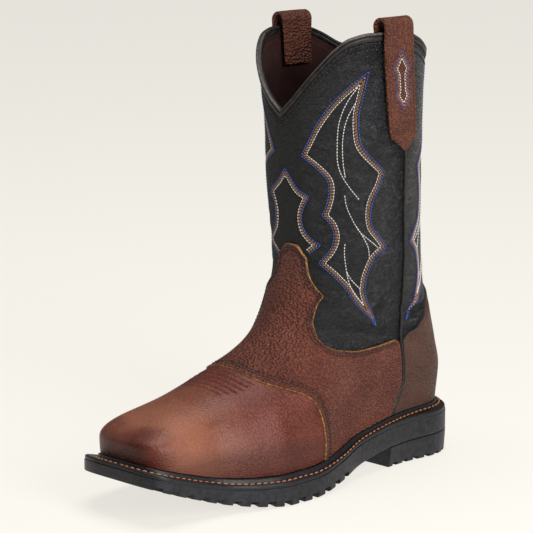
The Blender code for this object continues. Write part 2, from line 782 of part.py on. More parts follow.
def build_overlays():
    toe_leather = material("toe_leather", (0.16, 0.055, 0.030), 0.42)
    saddle_leather = material("saddle_leather", (0.13, 0.040, 0.024), 0.60)
    counter_leather = material("counter_leather", (0.11, 0.055, 0.038), 0.62)
    far = SOLE_LENGTH * 1.1
    edge = PIPING_RADIUS + 0.0012
    front = rows(SADDLE_FRONT)
    forepart = rows(SADDLE_FRONT, shift_along=GAP + FIT)
    overlay(
        "vamp_toe",
        FOREPART_LEATHER,
        forepart + [(far, forepart[-1][1]), (far, forepart[0][1])],
        toe_leather,
    )
    seam = edge_line(SEAM_LINE, shift_along=edge)
    seam = [p for p in seam if p[1] < SADDLE_TOP["up"][-1] * SHAFT_HEIGHT]
    top = [p for p in rows(SADDLE_TOP) if p[0] > seam[-1][0] + 0.004]
    tongue = [(far, SADDLE_TOP["up"][0] * SHAFT_HEIGHT), (far, front[0][1] + 0.004)]
    saddle = front[::-1] + tongue[::-1] + top + seam[::-1]
    overlay("vamp_saddle", SADDLE_LEATHER, saddle, saddle_leather)
    seam = edge_line(SEAM_LINE, shift_along=-edge)
    seam = [p for p in seam if p[1] < COUNTER_TOP["up"][0] * SHAFT_HEIGHT]
    top = [p for p in rows(COUNTER_TOP) if p[0] < seam[-1][0] - 0.003]
    counter = seam + top + [(top[-1][0], 0.0)]
    overlay("counter", COUNTER_LEATHER, counter, counter_leather)


def skin_at(s, z, side, offset):
    """The point of the wall's side at (s, z), moved out along its normal."""
    near = np.zeros_like(np.asarray(s, float))
    far = near + SHAFT_WIDTH
    for _ in range(40):
        middle = (near + far) / 2
        inside = boot_form(s, side * middle, z) < 0
        near = np.where(inside, middle, near)
        far = np.where(inside, far, middle)
    points = np.stack([s + near * 0, side * near, z + near * 0], -1)
    return points + outward(points) * offset


def cord(name, points, radius, finish, cyclic=False):
    curve = bpy.data.curves.new(name, "CURVE")
    curve.dimensions = "3D"
    curve.bevel_depth = radius
    curve.bevel_resolution = 1
    curve.use_fill_caps = True
    spline = curve.splines.new("POLY")
    spline.points.add(len(points) - 1)
    for point, place in zip(spline.points, points):
        point.co = (*place, 1)
    spline.use_cyclic_u = cyclic
    piece = bpy.data.objects.new(name, curve)
    curve.materials.append(finish)
    PARTS.objects.link(piece)
    return piece


def build_piping():
    finish = material("piping_leather", (0.14, 0.11, 0.095), 0.6)
    for name, side in (("piping_outer", 1), ("piping_inner", -1)):
        seam_top = ease(SEAM_LINE, "along", 1.0, "up") * SOLE_LENGTH
        top = collar_at(seam_top, side) + STRAP_LOOP - STRAP_OUTSIDE - 0.0012
        share = SEAM_LINE["along"][0]
        low = float(welt_top(share * SOLE_LENGTH)) + RIB + 0.0022
        z = np.linspace(low, top, 24)
        s = ease(SEAM_LINE, "along", z / SHAFT_HEIGHT, "up") * SOLE_LENGTH
        points = to_world(skin_at(s, z, side, PIPING_RADIUS + GAP + 0.0003))
        cord(name, points, PIPING_RADIUS, finish)


def build_binding():
    """A folded strip over the collar's edge."""
    finish = material("binding_leather", (0.20, 0.17, 0.16), 0.6)
    # the strip's lower edges lie on the wall's own facets, between two rings
    lip_out = WALL[-1]
    lip_in = lip_out - WALL_NORMAL[-1] * UPPER_WALL
    ring_in = WALL[-2] - WALL_NORMAL[-2] * UPPER_WALL
    fall = BINDING_DROP / np.linalg.norm(WALL[-2] - lip_out, axis=1, keepdims=True)
    low_out = lip_out + (WALL[-2] - lip_out) * fall
    low_in = lip_in + (ring_in - lip_in) * fall
    level = np.array([1.0, 1.0, 0.0])
    normal = WALL_NORMAL[-1] * level
    normal /= np.linalg.norm(normal, axis=1, keepdims=True)
    near = GAP + FIT
    far = near + BINDING
    over = np.array([0.0, 0.0, GAP + FIT])
    cap = np.array([0.0, 0.0, GAP + FIT + BINDING])
    stack = (
        low_out + normal * near,
        low_out + normal * far,
        lip_out + normal * far + over,
        lip_out + cap,
        lip_in + cap,
        lip_in - normal * far + over,
        low_in - normal * far,
        low_in - normal * near,
        lip_in - normal * near + over,
        lip_out + normal * near + over,
    )
    rings = [to_world(column) for column in np.stack(stack, 1)]
    tube("collar_binding", rings, finish, closed=True)


def build_straps():
    finish = material("strap_leather", (0.16, 0.055, 0.032), 0.62)
    for name, side in (("pull_strap_outer", 1), ("pull_strap_inner", -1)):
        tube(name, strap_rings(side), finish)


def collar_at(s, side):
    """Height of the collar over a point of the wall's side."""
    centre = ease(LEVELS, "centre", 1.0) * SOLE_LENGTH
    spread = ease(LEVELS, "spread", 1.0) / SIDE_SPREAD
    across = SHAFT_WIDTH / 2
    return float(collar_height(side * np.arctan2(across * spread, s - centre)))


def strap_rings(side):
    """A strap folded over the collar, from its outside tip to its inside end."""
    seam_top = ease(SEAM_LINE, "along", 1.0, "up") * SOLE_LENGTH
    rim = collar_at(seam_top, side)
    stand = GAP + FIT + BINDING + STRAP_EASE
    low = rim + STRAP_LOOP - STRAP_OUTSIDE
    steps = [0.0, 0.07, 0.15, 0.30, 0.45, 0.60, 0.75, 0.88, 1.0]
    widths = [0.30, 0.76, 1.0, 1.0, 1.0, 1.0, 1.0, 1.0, 1.0]
    legs = []
    for step, width in zip(steps, widths):
        z = low + (rim - 0.010 - low) * step
        legs.append(("out", z, width * STRAP_WIDTH, GAP + FIT + (stand - GAP) * step**1.6))
    legs += [("over", turn, STRAP_WIDTH, stand + FIT) for turn in np.linspace(0, np.pi, 9)]
    for z in np.linspace(rim - 0.010, rim + STRAP_LOOP - STRAP_INSIDE, 5):
        legs.append(("in", z, STRAP_WIDTH, stand))
    rings = []
    for kind, where, width, gap in legs:
        faces = ([], [])
        for share in np.linspace(-0.5, 0.5, 5):
            for face, thick in zip(faces, (0.0, STRAP_LEATHER)):
                face.append(strap_point(kind, where, share * width, gap, thick, side, rim))
        rings.append(to_world(faces[0] + faces[1][::-1]))
    return rings


def strap_point(kind, where, across, gap, thick, side, rim):
    """A point of a strap's under face, or of its top face when thick is set."""
    if kind == "over":
        s = ease(SEAM_LINE, "along", 1.0, "up") * SOLE_LENGTH + across
        x_wall = abs(skin_at(s, rim - 0.004, side, 0.0)[1])
        reach = gap + UPPER_WALL / 2
        lift = rim + STRAP_LOOP - reach
        x = x_wall - UPPER_WALL / 2 + (reach + thick) * math.cos(where)
        return (s, side * x, lift + (reach + thick) * math.sin(where))
    s = ease(SEAM_LINE, "along", where / SHAFT_HEIGHT, "up") * SOLE_LENGTH + across
    offset = gap + thick if kind == "out" else -UPPER_WALL - gap - thick
    return tuple(skin_at(s, where, side, offset))


# ---- Build ----------------------------------------------------------------

clear_scene()
PARTS = new_collection("western_work_boot")
CUTTERS = new_collection("cutters")
build_sole()
build_welt()
build_insole()
build_upper()
build_overlays()
build_piping()
build_binding()
build_straps()
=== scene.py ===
# %% [markdown]
# # A western work boot, piece by piece
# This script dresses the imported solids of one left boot. The solids give the size and the
# places of the pieces. The script makes the leather, thread, rubber and lining that are seen.
# Everything is in metres: +Z is up, -Y is towards the toe, +X is the boot's outer side.

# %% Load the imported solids
import math

import bpy
import bmesh
import numpy as np
from mathutils import Matrix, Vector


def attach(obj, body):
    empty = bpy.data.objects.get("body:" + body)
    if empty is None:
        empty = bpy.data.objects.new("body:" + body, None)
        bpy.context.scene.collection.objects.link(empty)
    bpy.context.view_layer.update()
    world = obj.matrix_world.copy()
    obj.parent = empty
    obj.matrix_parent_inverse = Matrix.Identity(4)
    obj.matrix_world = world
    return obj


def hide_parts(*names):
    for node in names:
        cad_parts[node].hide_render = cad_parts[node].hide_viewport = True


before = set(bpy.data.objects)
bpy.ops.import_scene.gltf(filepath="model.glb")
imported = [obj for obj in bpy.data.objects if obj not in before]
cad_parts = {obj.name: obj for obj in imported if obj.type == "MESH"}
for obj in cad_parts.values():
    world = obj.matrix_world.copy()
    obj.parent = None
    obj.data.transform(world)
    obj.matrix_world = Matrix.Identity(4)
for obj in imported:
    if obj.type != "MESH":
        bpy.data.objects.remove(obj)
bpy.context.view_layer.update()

# %% [markdown]
# ## The camera
# A product photograph is taken from far away with a long lens, so the boot keeps its true
# proportions. The camera stands 1.8 m off, 46 degrees round towards the outer side and 11
# degrees above the floor. A small lens shift centres the boot in the square picture.

# %% Place the camera
AZIMUTH = math.radians(45.83)
ELEVATION = math.radians(11.26)
DISTANCE = 1.8
LENS = 182.3  # focal length in mm, on a sensor 36 mm wide
PICTURE_SIDE = 533  # pixels
SHIFT_RIGHT = -0.45  # pixels
SHIFT_UP = -3.49
AIM = np.array([0.0, -0.12025, 0.15])


def place_camera():
    """Set the camera on its ray from the aim, looking back along it."""
    back = np.array([
        math.sin(AZIMUTH) * math.cos(ELEVATION),
        -math.cos(AZIMUTH) * math.cos(ELEVATION),
        math.sin(ELEVATION),
    ])
    right = np.array([math.cos(AZIMUTH), math.sin(AZIMUTH), 0.0])
    up = np.cross(back, right)
    data = bpy.data.cameras.new("camera")
    data.lens = LENS
    data.sensor_width = 36
    data.shift_x = SHIFT_RIGHT / PICTURE_SIDE
    data.shift_y = SHIFT_UP / PICTURE_SIDE
    data.clip_end = 30
    camera = bpy.data.objects.new("camera", data)
    turn = Matrix(np.stack([right, up, back], 1).tolist()).to_4x4()
    camera.matrix_world = Matrix.Translation((AIM + back * DISTANCE).tolist()) @ turn
    bpy.context.scene.collection.objects.link(camera)
    bpy.context.scene.camera = camera
    return camera


camera = place_camera()
print("camera at", [round(v, 3) for v in camera.location])

# %% [markdown]
# ## The last's form
# A boot is built over a last. Its leather follows one smooth surface, so that surface is
# written here as a function, from the same named sizes and tables that made the solids. A
# point is (s, x, z): s is the distance from the heel's back, x is to the side, z is up.
# Three things were redrawn here after the solids were made: the saddle's top edge, the
# collar's height on the inner side, and the inside legs of the pull straps.

# %% Sizes of the boot, in metres
SOLE_LENGTH = 0.296  # heel's back to the toe's front
BALL_WIDTH = 0.114  # sole across the ball
SHAFT_HEIGHT = 0.300  # floor to the collar behind the pull straps
SHAFT_WIDTH = 0.1075  # shaft from side to side at the top
SHAFT_DEPTH = 0.1083  # shaft from front to back, half way up
VAMP_HEIGHT = 0.0905  # floor to the instep's ridge
HEEL_RISE = 0.0152  # heel seat's underside above the floor
TOE_SPRING = 0.0280  # toe's underside above the floor
HEEL_LENGTH = 0.0755  # heel block from back to breast
OUTSOLE = 0.0087  # outsole's thickness under the arch
MIDSOLE = 0.0045
WELT = 0.0033
RIB = 0.0030  # storm rib above the welt
RIB_WIDTH = 0.0034
UPPER_WALL = 0.0020
FOREPART_LEATHER = 0.0013
SADDLE_LEATHER = 0.0016
COUNTER_LEATHER = 0.0015
PIPING_RADIUS = 0.0011
BINDING = 0.0011  # thickness of the collar's binding
STRAP_WIDTH = 0.0260
STRAP_LEATHER = 0.0024
STRAP_LOOP = 0.0088  # underside of a strap's loop above the collar
STRAP_EASE = 0.0008  # how far a strap stands off the binding
STRAP_OUTSIDE = 0.0875  # how far a strap reaches down outside
STRAP_INSIDE = 0.034  # and inside
GAP = 0.0003  # between pieces that touch
FIT = 0.0003  # added where a curved piece beds on another in short flats
NOTCH_PITCH = 0.0125  # along the forefoot's edge
NOTCH_WIDTH = 0.0062
NOTCH_HEIGHT = 0.0040
NOTCH_DEPTH = 0.0090
HEEL_NOTCH_PITCH = 0.0107
HEEL_NOTCH_WIDTH = 0.0052
HEEL_NOTCH_HEIGHT = 0.0026
GROOVE = 0.0045  # groove between two lugs of the tread

# %% The sole's tables: each column is a share of the size named beside it
# half widths of the sole: shares of BALL_WIDTH, along SOLE_LENGTH
OUTLINE = {
    "along": (0.00, 0.10, 0.19, 0.28, 0.37, 0.46, 0.55, 0.63, 0.71, 0.80, 0.90, 1.00),
    "outer": (0.337, 0.330, 0.317, 0.335, 0.366, 0.442, 0.488, 0.490, 0.445, 0.368, 0.347, 0.375),
    "inner": (0.345, 0.352, 0.350, 0.335, 0.322, 0.328, 0.375, 0.450, 0.497, 0.480, 0.440, 0.352),
}
TOE_ROUND = 0.13  # share of SOLE_LENGTH that the toe's rounding takes
TOE_SQUARE = 3.7  # exponent: higher is squarer
HEEL_ROUND = 0.125
HEEL_SQUARE = 2.25

# underside of the outsole: shares of HEEL_RISE and of TOE_SPRING
TREAD = {
    "along": (0.00, 0.12, 0.25, 0.34, 0.44, 0.52, 0.57, 0.64, 0.70, 0.78, 0.88, 1.00),
    "heel": (1.06, 1.02, 0.93, 0.72, 0.37, 0.10, 0.00, 0.00, 0.00, 0.00, 0.00, 0.00),
    "toe": (0.00, 0.00, 0.00, 0.00, 0.00, 0.00, 0.00, 0.00, 0.06, 0.21, 0.54, 1.00),
}

# the layers thin toward the toe: shares of OUTSOLE, MIDSOLE and WELT
LAYERS = {
    "along": (0.00, 0.55, 0.64, 0.72, 0.80, 0.90, 1.00),
    "outsole": (1.00, 1.00, 0.96, 0.84, 0.70, 0.58, 0.50),
    "midsole": (1.00, 1.00, 0.98, 0.86, 0.75, 0.66, 0.60),
    "welt": (1.00, 1.00, 1.00, 0.97, 0.95, 0.92, 0.90),
}

# welt's visible ledge, metres: it is set by the stitching, not by the foot
LEDGE = {
    "along": (0.00, 0.30, 0.50, 0.70, 1.00),
    "outer": (0.0078, 0.0070, 0.0078, 0.0093, 0.0102),
    "inner": (0.0078, 0.0062, 0.0065, 0.0088, 0.0102),
}
TOE_LEDGE = 0.0108

# %% Tables of the foot, the shaft and the collar
# foot's upper surface: ridge height (share of VAMP_HEIGHT), ridge offset
# (share of BALL_WIDTH) and how square the section is
FOOT = {
    "along": (0.20, 0.42, 0.52, 0.60, 0.68, 0.76, 0.84, 0.92, 1.00),
    "height": (1.34, 1.33, 1.155, 0.988, 0.864, 0.770, 0.708, 0.648, 0.585),
    "ridge": (-0.020, -0.020, -0.020, -0.030, -0.035, -0.030, -0.020, -0.020, -0.020),
    "square": (2.20, 2.20, 2.15, 2.10, 2.10, 2.20, 2.35, 2.50, 2.50),
}
BULGE = 0.014  # height of the foot's widest line above the welt
FOOT_FULL = 1.03  # how much wider it is there
TUCK = 0.045  # how much the wall tucks in at the welt
SHANK_START = 0.20  # share of SOLE_LENGTH where the foot form begins
ROUND_START = 0.050

# shaft: back (share of SOLE_LENGTH), depth (of SHAFT_DEPTH) and the outer and
# inner half widths (of half SHAFT_WIDTH), up SHAFT_HEIGHT
SHAFT = {
    "along": (0.00, 0.11, 0.20, 0.27, 0.33, 0.39, 0.50, 0.62, 0.75, 1.05),
    "back": (0.028, 0.0245, 0.0195, 0.038, 0.058, 0.078, 0.097, 0.107, 0.121, 0.109),
    "depth": (1.385, 1.394, 1.380, 1.290, 1.187, 1.084, 0.974, 0.960, 0.924, 1.078),
    "outer": (0.475, 0.505, 0.575, 0.625, 0.675, 0.722, 0.80, 0.875, 0.95, 1.02),
    "inner": (0.485, 0.515, 0.585, 0.635, 0.675, 0.722, 0.80, 0.875, 0.95, 1.02),
}
SHAFT_SQUARE = 2.3
SHAFT_ROUND = 1.12  # end rounding as a share of the half width
BLEND = 0.022  # how softly the shaft runs into the foot

# collar: height as a share of SHAFT_HEIGHT, by share of the half turn from the
# front dip to the back
COLLAR = {
    "along": (0.0, 0.057, 0.119, 0.183, 0.229, 0.27, 0.33, 0.40, 0.472, 0.515, 0.593, 0.75, 1.0),
    "height": (0.83, 0.858, 0.897, 0.943, 0.978, 1.0, 1.010, 1.010, 1.003, 0.992, 0.966, 0.94, 0.93),
}
COLLAR_TURN = -0.14  # the front dip lies a little toward the inner side, radians

# %% Tables of the wall's levels and of the overlays' edges
# levels of the wall between the welt and the collar: height behind the heel
# and at the toe end of each level's plane (shares of SHAFT_HEIGHT), and the
# centre and half spread of the rays (shares of SOLE_LENGTH)
LEVELS = {
    "along": (0.00, 0.20, 0.25, 0.45, 0.50, 0.70, 0.75, 1.00),
    "back": (0.117, 0.245, 0.283, 0.450, 0.500, 0.690, 0.750, 1.000),
    "front": (0.107, 0.300, 0.350, 0.545, 0.593, 0.745, 0.783, 1.000),
    "centre": (0.500, 0.440, 0.415, 0.290, 0.278, 0.240, 0.237, 0.225),
    "spread": (0.480, 0.440, 0.400, 0.240, 0.230, 0.190, 0.190, 0.190),
}
SIDE_SPREAD = 0.155  # share of SOLE_LENGTH

# side views of the overlays' edges: shares of SOLE_LENGTH and SHAFT_HEIGHT
SEAM_LINE = {
    "up": (0.0, 0.124, 0.155, 0.195, 0.247, 0.318, 0.385, 0.496, 0.628, 0.742, 0.82, 0.90, 1.0),
    "along": (0.23, 0.228, 0.213, 0.2, 0.207, 0.225, 0.23, 0.238, 0.254, 0.268, 0.278, 0.288, 0.298),
}
SADDLE_FRONT = {
    "along": (0.655, 0.652, 0.648, 0.634, 0.606, 0.566, 0.541, 0.527, 0.519, 0.515, 0.513),
    "up": (0.400, 0.300, 0.268, 0.255, 0.243, 0.229, 0.212, 0.184, 0.147, 0.110, -0.020),
}
SADDLE_TOP = {
    "along": (0.475, 0.4546, 0.4536, 0.4518, 0.4494, 0.4500, 0.4512, 0.4490, 0.4440, 0.4540,
              0.4680, 0.4765, 0.4780, 0.4680, 0.448, 0.406, 0.363, 0.310, 0.258, 0.200),
    "up": (0.5345, 0.5340, 0.5290, 0.5170, 0.5020, 0.4790, 0.4580, 0.4390, 0.4250, 0.4110,
           0.3840, 0.3620, 0.3400, 0.3215, 0.310, 0.3005, 0.294, 0.2945, 0.298, 0.303),
}
COUNTER_TOP = {
    "along": (0.260, 0.225, 0.180, 0.142, 0.112, 0.080, 0.030, -0.050),
    "up": (0.296, 0.300, 0.312, 0.344, 0.382, 0.420, 0.455, 0.480),
}
print("tables read:", len(OUTLINE["along"]), "stations along the sole")


# %% Read a table as a smooth curve
def ease(table, column, share, by="along"):
    """Read a table's column at a share: a smooth curve with no overshoot."""
    x = np.array(table[by], float)
    y = np.array(table[column], float)
    step = np.diff(x)
    slope = np.diff(y) / step
    tangent = np.zeros_like(y)
    tangent[0] = slope[0]
    tangent[-1] = slope[-1]
    before = slope[:-1]
    after = slope[1:]
    weight_a = 2 * step[1:] + step[:-1]
    weight_b = step[1:] + 2 * step[:-1]
    same = before * after > 0
    safe_before = np.where(same, before, 1.0)
    safe_after = np.where(same, after, 1.0)
    mean = (weight_a + weight_b) / (weight_a / safe_before + weight_b / safe_after)
    tangent[1:-1] = np.where(same, mean, 0.0)
    share = np.clip(share, x[0], x[-1])
    i = np.clip(np.searchsorted(x, share, side="right") - 1, 0, len(step) - 1)
    t = (share - x[i]) / step[i]
    start = (1 + 2 * t) * (1 - t) ** 2 * y[i] + t * (1 - t) ** 2 * step[i] * tangent[i]
    end = t * t * (3 - 2 * t) * y[i + 1] + t * t * (t - 1) * step[i] * tangent[i + 1]
    return start + end


# %% Heights and widths of the sole
def half_widths(s, inset=0.0):
    """Outer and inner half width of the sole at a distance s from its back."""
    share = s / SOLE_LENGTH
    toe = np.clip((share - 1 + TOE_ROUND) / TOE_ROUND, 0, 1)
    heel = np.clip((HEEL_ROUND - share) / HEEL_ROUND, 0, 1)
    ends = (1 - toe**TOE_SQUARE) ** (1 / TOE_SQUARE)
    ends = ends * (1 - heel**HEEL_SQUARE) ** (1 / HEEL_SQUARE)
    outer = ease(OUTLINE, "outer", share) * BALL_WIDTH * ends
    inner = ease(OUTLINE, "inner", share) * BALL_WIDTH * ends
    return np.maximum(outer - inset, 0.001), np.maximum(inner - inset, 0.001)


def underside(s):
    """Height of the outsole's tread above the floor."""
    share = s / SOLE_LENGTH
    return ease(TREAD, "heel", share) * HEEL_RISE + ease(TREAD, "toe", share) * TOE_SPRING


def outsole_top(s):
    return underside(s) + ease(LAYERS, "outsole", s / SOLE_LENGTH) * OUTSOLE


def midsole_top(s):
    return outsole_top(s) + GAP + ease(LAYERS, "midsole", s / SOLE_LENGTH) * MIDSOLE


def welt_top(s):
    return midsole_top(s) + GAP + ease(LAYERS, "welt", s / SOLE_LENGTH) * WELT


print("toe springs", round(float(underside(SOLE_LENGTH)) * 1000, 1), "mm off the floor")

# %% The foot and the shaft, run into each other
PLAN_SQUARE = 3.3  # exponent: how square the foot is seen from above
FIELD_SCALE = 0.045  # metres for one unit of the forms' fields


def foot_form(s, x, z):
    """Foot from the shank to the toe, over the welt's inner line."""
    share = s / SOLE_LENGTH
    ridge = ease(FOOT, "ridge", share) * BALL_WIDTH
    height = ease(FOOT, "height", share) * VAMP_HEIGHT
    square = ease(FOOT, "square", share)
    outer = ease(OUTLINE, "outer", share) * BALL_WIDTH - ease(LEDGE, "outer", share)
    inner = ease(OUTLINE, "inner", share) * BALL_WIDTH - ease(LEDGE, "inner", share)
    widest = welt_top(s) + BULGE
    width = np.where(x > ridge, outer - ridge, inner + ridge)
    tuck = 1 - TUCK * np.clip((widest - z) / BULGE, 0, 1.6) ** 2
    across = np.abs(x - ridge) / (width * tuck * FOOT_FULL)
    toe_length = TOE_ROUND * SOLE_LENGTH
    toe_start = SOLE_LENGTH - TOE_LEDGE - toe_length
    ahead = np.clip((s - toe_start) / toe_length, 0, None) / np.sqrt(tuck)
    behind = np.clip((SHANK_START * SOLE_LENGTH + ROUND_START - s) / ROUND_START, 0, None)
    rise = np.clip((z - widest) / (height - widest), 0, None)
    plan = (across**PLAN_SQUARE + ahead**PLAN_SQUARE + behind**PLAN_SQUARE) ** (1 / PLAN_SQUARE)
    return ((plan**square + rise**square) ** (1 / square) - 1) * FIELD_SCALE


def shaft_form(s, x, z):
    """Shaft from the heel seat to the collar."""
    share = z / SHAFT_HEIGHT
    back = ease(SHAFT, "back", share) * SOLE_LENGTH
    depth = ease(SHAFT, "depth", share) * SHAFT_DEPTH
    outer = ease(SHAFT, "outer", share) * SHAFT_WIDTH / 2
    inner = ease(SHAFT, "inner", share) * SHAFT_WIDTH / 2
    width = np.where(x > 0, outer, inner)
    end = np.minimum(depth / 2, SHAFT_ROUND * (outer + inner) / 2)
    along = np.maximum((back + end - s) / end, (s - back - depth + end) / end)
    along = np.clip(along, 0, None)
    power = SHAFT_SQUARE
    return (((np.abs(x) / width) ** power + along**power) ** (1 / power) - 1) * FIELD_SCALE


def boot_form(s, x, z):
    """The two forms run into each other softly at the instep and the ankle."""
    foot = foot_form(s, x, z)
    shaft = shaft_form(s, x, z)
    mix = np.clip(0.5 + 0.5 * (shaft - foot) / BLEND, 0, 1)
    return shaft * (1 - mix) + foot * mix - BLEND * mix * (1 - mix)


# %% Levels from the welt to the scalloped collar
INNER_DROP = 0.005  # the collar is drawn this much lower on the inner side


def collar_height(angle):
    """Height of the collar at an angle round the shaft."""
    turn = (angle + np.pi) % (2 * np.pi) - np.pi - COLLAR_TURN
    half = np.where(turn > 0, np.pi - COLLAR_TURN, np.pi + COLLAR_TURN)
    inner = np.sin(np.pi * np.clip(-turn / half, 0, 1))
    return SHAFT_HEIGHT * ease(COLLAR, "height", np.abs(turn) / half) - INNER_DROP * inner


def level_height(level, angle, s):
    """Height of a level at a distance s: it follows the welt, then the shaft."""
    base = welt_top(s) + RIB + 0.001
    back = ease(LEVELS, "back", level) * SHAFT_HEIGHT
    front = ease(LEVELS, "front", level) * SHAFT_HEIGHT
    plane = back + (front - back) * np.clip(s / SOLE_LENGTH, -0.2, 1) / 0.75
    low = np.clip(level / 0.25, 0, 1)
    low = low * low * (3 - 2 * low)
    height = base * (1 - low) + plane * low
    high = np.clip((level - 0.5) / 0.5, 0, 1)
    high = high * high * (3 - 2 * high)
    return height + (collar_height(angle) - SHAFT_HEIGHT) * high


def rim_height(level, angle, s):
    """The wall's lower rim, hidden behind the welt. It is the same on every ray."""
    return midsole_top(s) + GAP


def last_inside(inside, near, far, rounds=40):
    """Halve the way between near and far until it ends at the form's surface."""
    for _ in range(rounds):
        middle = (near + far) / 2
        within = inside(middle)
        near = np.where(within, middle, near)
        far = np.where(within, far, middle)
    return near


def unit(ways):
    return ways / np.linalg.norm(ways, axis=-1, keepdims=True)


def level_way(ways):
    """Directions without their upward part, at length 1."""
    return unit(ways * (1, 1, 0))


# %% Points and directions on the form
def on_skin(angle, level, height=level_height):
    """Where the ray of an angle leaves the form, at a level: s, x, z."""
    centre = ease(LEVELS, "centre", level) * SOLE_LENGTH
    spread = ease(LEVELS, "spread", level) * SOLE_LENGTH
    side = SIDE_SPREAD * SOLE_LENGTH

    def along_ray(out):
        s = centre + out * spread * np.cos(angle)
        return s, out * side * np.sin(angle), height(level, angle, s)

    near = np.full_like(angle + level, 0.02)
    far = np.full_like(angle + level, 1.9)
    out = last_inside(lambda middle: boot_form(*along_ray(middle)) < 0, near, far, 34)
    return np.stack(along_ray(out), -1)


def outward(points):
    """Unit normals of the form at points (s, x, z)."""
    step = 0.0004
    slopes = []
    for axis in range(3):
        ahead = points.copy()
        behind = points.copy()
        ahead[..., axis] += step
        behind[..., axis] -= step
        rise = boot_form(*np.moveaxis(ahead, -1, 0)) - boot_form(*np.moveaxis(behind, -1, 0))
        slopes.append(rise)
    return unit(np.stack(slopes, -1))


def to_world(points):
    """(s, x, z) to the object's frame."""
    s, x, z = np.moveaxis(np.asarray(points, float), -1, 0)
    return np.stack([x, HEEL_LENGTH / 2 - s, z], -1)


# %% [markdown]
# ## Making a piece from numbers
# Each piece is a mesh made from arrays of points and faces. One small helper makes the
# object, gives it its finish, shades it smooth and lets it ride with the boot. Nothing on a
# boot moves by a joint, so every piece rides on the one body, root.

# %% Helper: a mesh piece
def make_piece(name, points, faces, finishes, sharp=40):
    """A smooth mesh object that rides with the boot. Sharp is the angle of a hard edge."""
    mesh = bpy.data.meshes.new(name)
    mesh.from_pydata(np.asarray(points, float).tolist(), [], [tuple(f) for f in faces])
    for finish in finishes:
        mesh.materials.append(finish)
    mesh.shade_smooth()
    mesh.set_sharp_from_angle(angle=math.radians(sharp))
    piece = bpy.data.objects.new(name, mesh)
    bpy.context.scene.collection.objects.link(piece)
    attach(piece, "root")
    print(name, len(mesh.vertices), "points,", len(mesh.polygons), "faces")
    return piece


# %% Helper: faces between stacked rings
def ring_faces(count, around, closed=False, caps=True):
    """Four sided faces between rings of the same number of points, and the end caps."""
    faces = []
    for i in range(count if closed else count - 1):
        here = i * around
        there = (i + 1) % count * around
        for j in range(around):
            k = (j + 1) % around
            faces.append((here + j, here + k, there + k, there + j))
    if caps and not closed:
        faces.append(tuple(range(around))[::-1])
        faces.append(tuple(range((count - 1) * around, count * around)))
    return faces


def face_out(piece):
    """Turn every face's front to the outside."""
    work = bmesh.new()
    work.from_mesh(piece.data)
    bmesh.ops.recalc_face_normals(work, faces=work.faces)
    work.to_mesh(piece.data)
    work.free()


# %% [markdown]
# ## Finishes made of nodes
# No picture is used: each leather, rubber and thread is built from noise and cell patterns
# that are read at the point's own place on the boot, so that they have the right size in
# millimetres. Cells give pebbled grain and cracks, with painted shade in their pits. Stretched
# noise gives wrinkles, rubbed paler with painted highlight along their ridges, and slow noise
# gives the uneven dye of a burnished hide. The shaft also has a painted sheen on its outer side,
# and the toe painted shade beside the welt.

# %% Helpers: nodes and links
def start_finish(name, roughness=0.5):
    """A new material, its node tree and its shader."""
    finish = bpy.data.materials.new(name)
    finish.use_nodes = True
    tree = finish.node_tree
    shader = tree.nodes["Principled BSDF"]
    shader.inputs["Roughness"].default_value = roughness
    return finish, tree, shader


def add_node(tree, kind, values=None, **settings):
    """A node with some of its inputs' values and its own settings."""
    node = tree.nodes.new(kind)
    for key, value in settings.items():
        setattr(node, key, value)
    for key, value in (values or {}).items():
        node.inputs[key].default_value = value
    return node


def join(tree, source, out, target, into):
    tree.links.new(source.outputs[out], target.inputs[into])


# %% Helpers: a place on the boot, and patterns read there
def place_on_boot(tree, stretch=(1, 1, 1), bend=0.0, bend_scale=40):
    """Coordinates in metres, with an optional stretch and a wandering bend."""
    spot = add_node(tree, "ShaderNodeTexCoord")
    mapping = add_node(tree, "ShaderNodeMapping")
    mapping.inputs["Scale"].default_value = stretch
    join(tree, spot, "Object", mapping, "Vector")
    if not bend:
        return mapping, "Vector"
    drift = add_node(tree, "ShaderNodeTexNoise", {"Scale": bend_scale, "Detail": 3})
    join(tree, mapping, "Vector", drift, "Vector")
    moved = add_node(tree, "ShaderNodeVectorMath", operation="MULTIPLY_ADD")
    moved.inputs[1].default_value = (bend, bend, bend)
    join(tree, drift, "Color", moved, 0)
    join(tree, mapping, "Vector", moved, 2)
    return moved, "Vector"


def noise(tree, spot, scale, detail=4, rough=0.55):
    values = {"Scale": scale, "Detail": detail, "Roughness": rough}
    node = add_node(tree, "ShaderNodeTexNoise", values)
    join(tree, spot[0], spot[1], node, "Vector")
    return node


def cells(tree, spot, scale, feature="SMOOTH_F1", smooth=0.6):
    node = add_node(tree, "ShaderNodeTexVoronoi", {"Scale": scale}, feature=feature)
    if feature == "SMOOTH_F1":
        node.inputs["Smoothness"].default_value = smooth
    join(tree, spot[0], spot[1], node, "Vector")
    return node


def ramp(tree, source, out, stops):
    """Colours by a value. Each stop is (value, colour), and a plain number is a grey."""
    node = add_node(tree, "ShaderNodeValToRGB")
    band = node.color_ramp
    while len(band.elements) < len(stops):
        band.elements.new(0.5)
    for element, (place, colour) in zip(band.elements, stops):
        element.position = place
        grey = not isinstance(colour, tuple)
        element.color = (colour, colour, colour, 1) if grey else (*colour, 1)
    join(tree, source, out, node, "Fac")
    return node


def mix(tree, amount, first, second, kind="MIX"):
    """Mix two colours. Each input is a colour or a (node, output) pair."""
    node = add_node(tree, "ShaderNodeMixRGB", blend_type=kind)
    for value, into in ((amount, "Fac"), (first, "Color1"), (second, "Color2")):
        if isinstance(value, tuple) and hasattr(value[0], "outputs"):
            join(tree, value[0], value[1], node, into)
        elif into == "Fac":
            node.inputs[into].default_value = value
        else:
            node.inputs[into].default_value = (*value, 1)
    return node


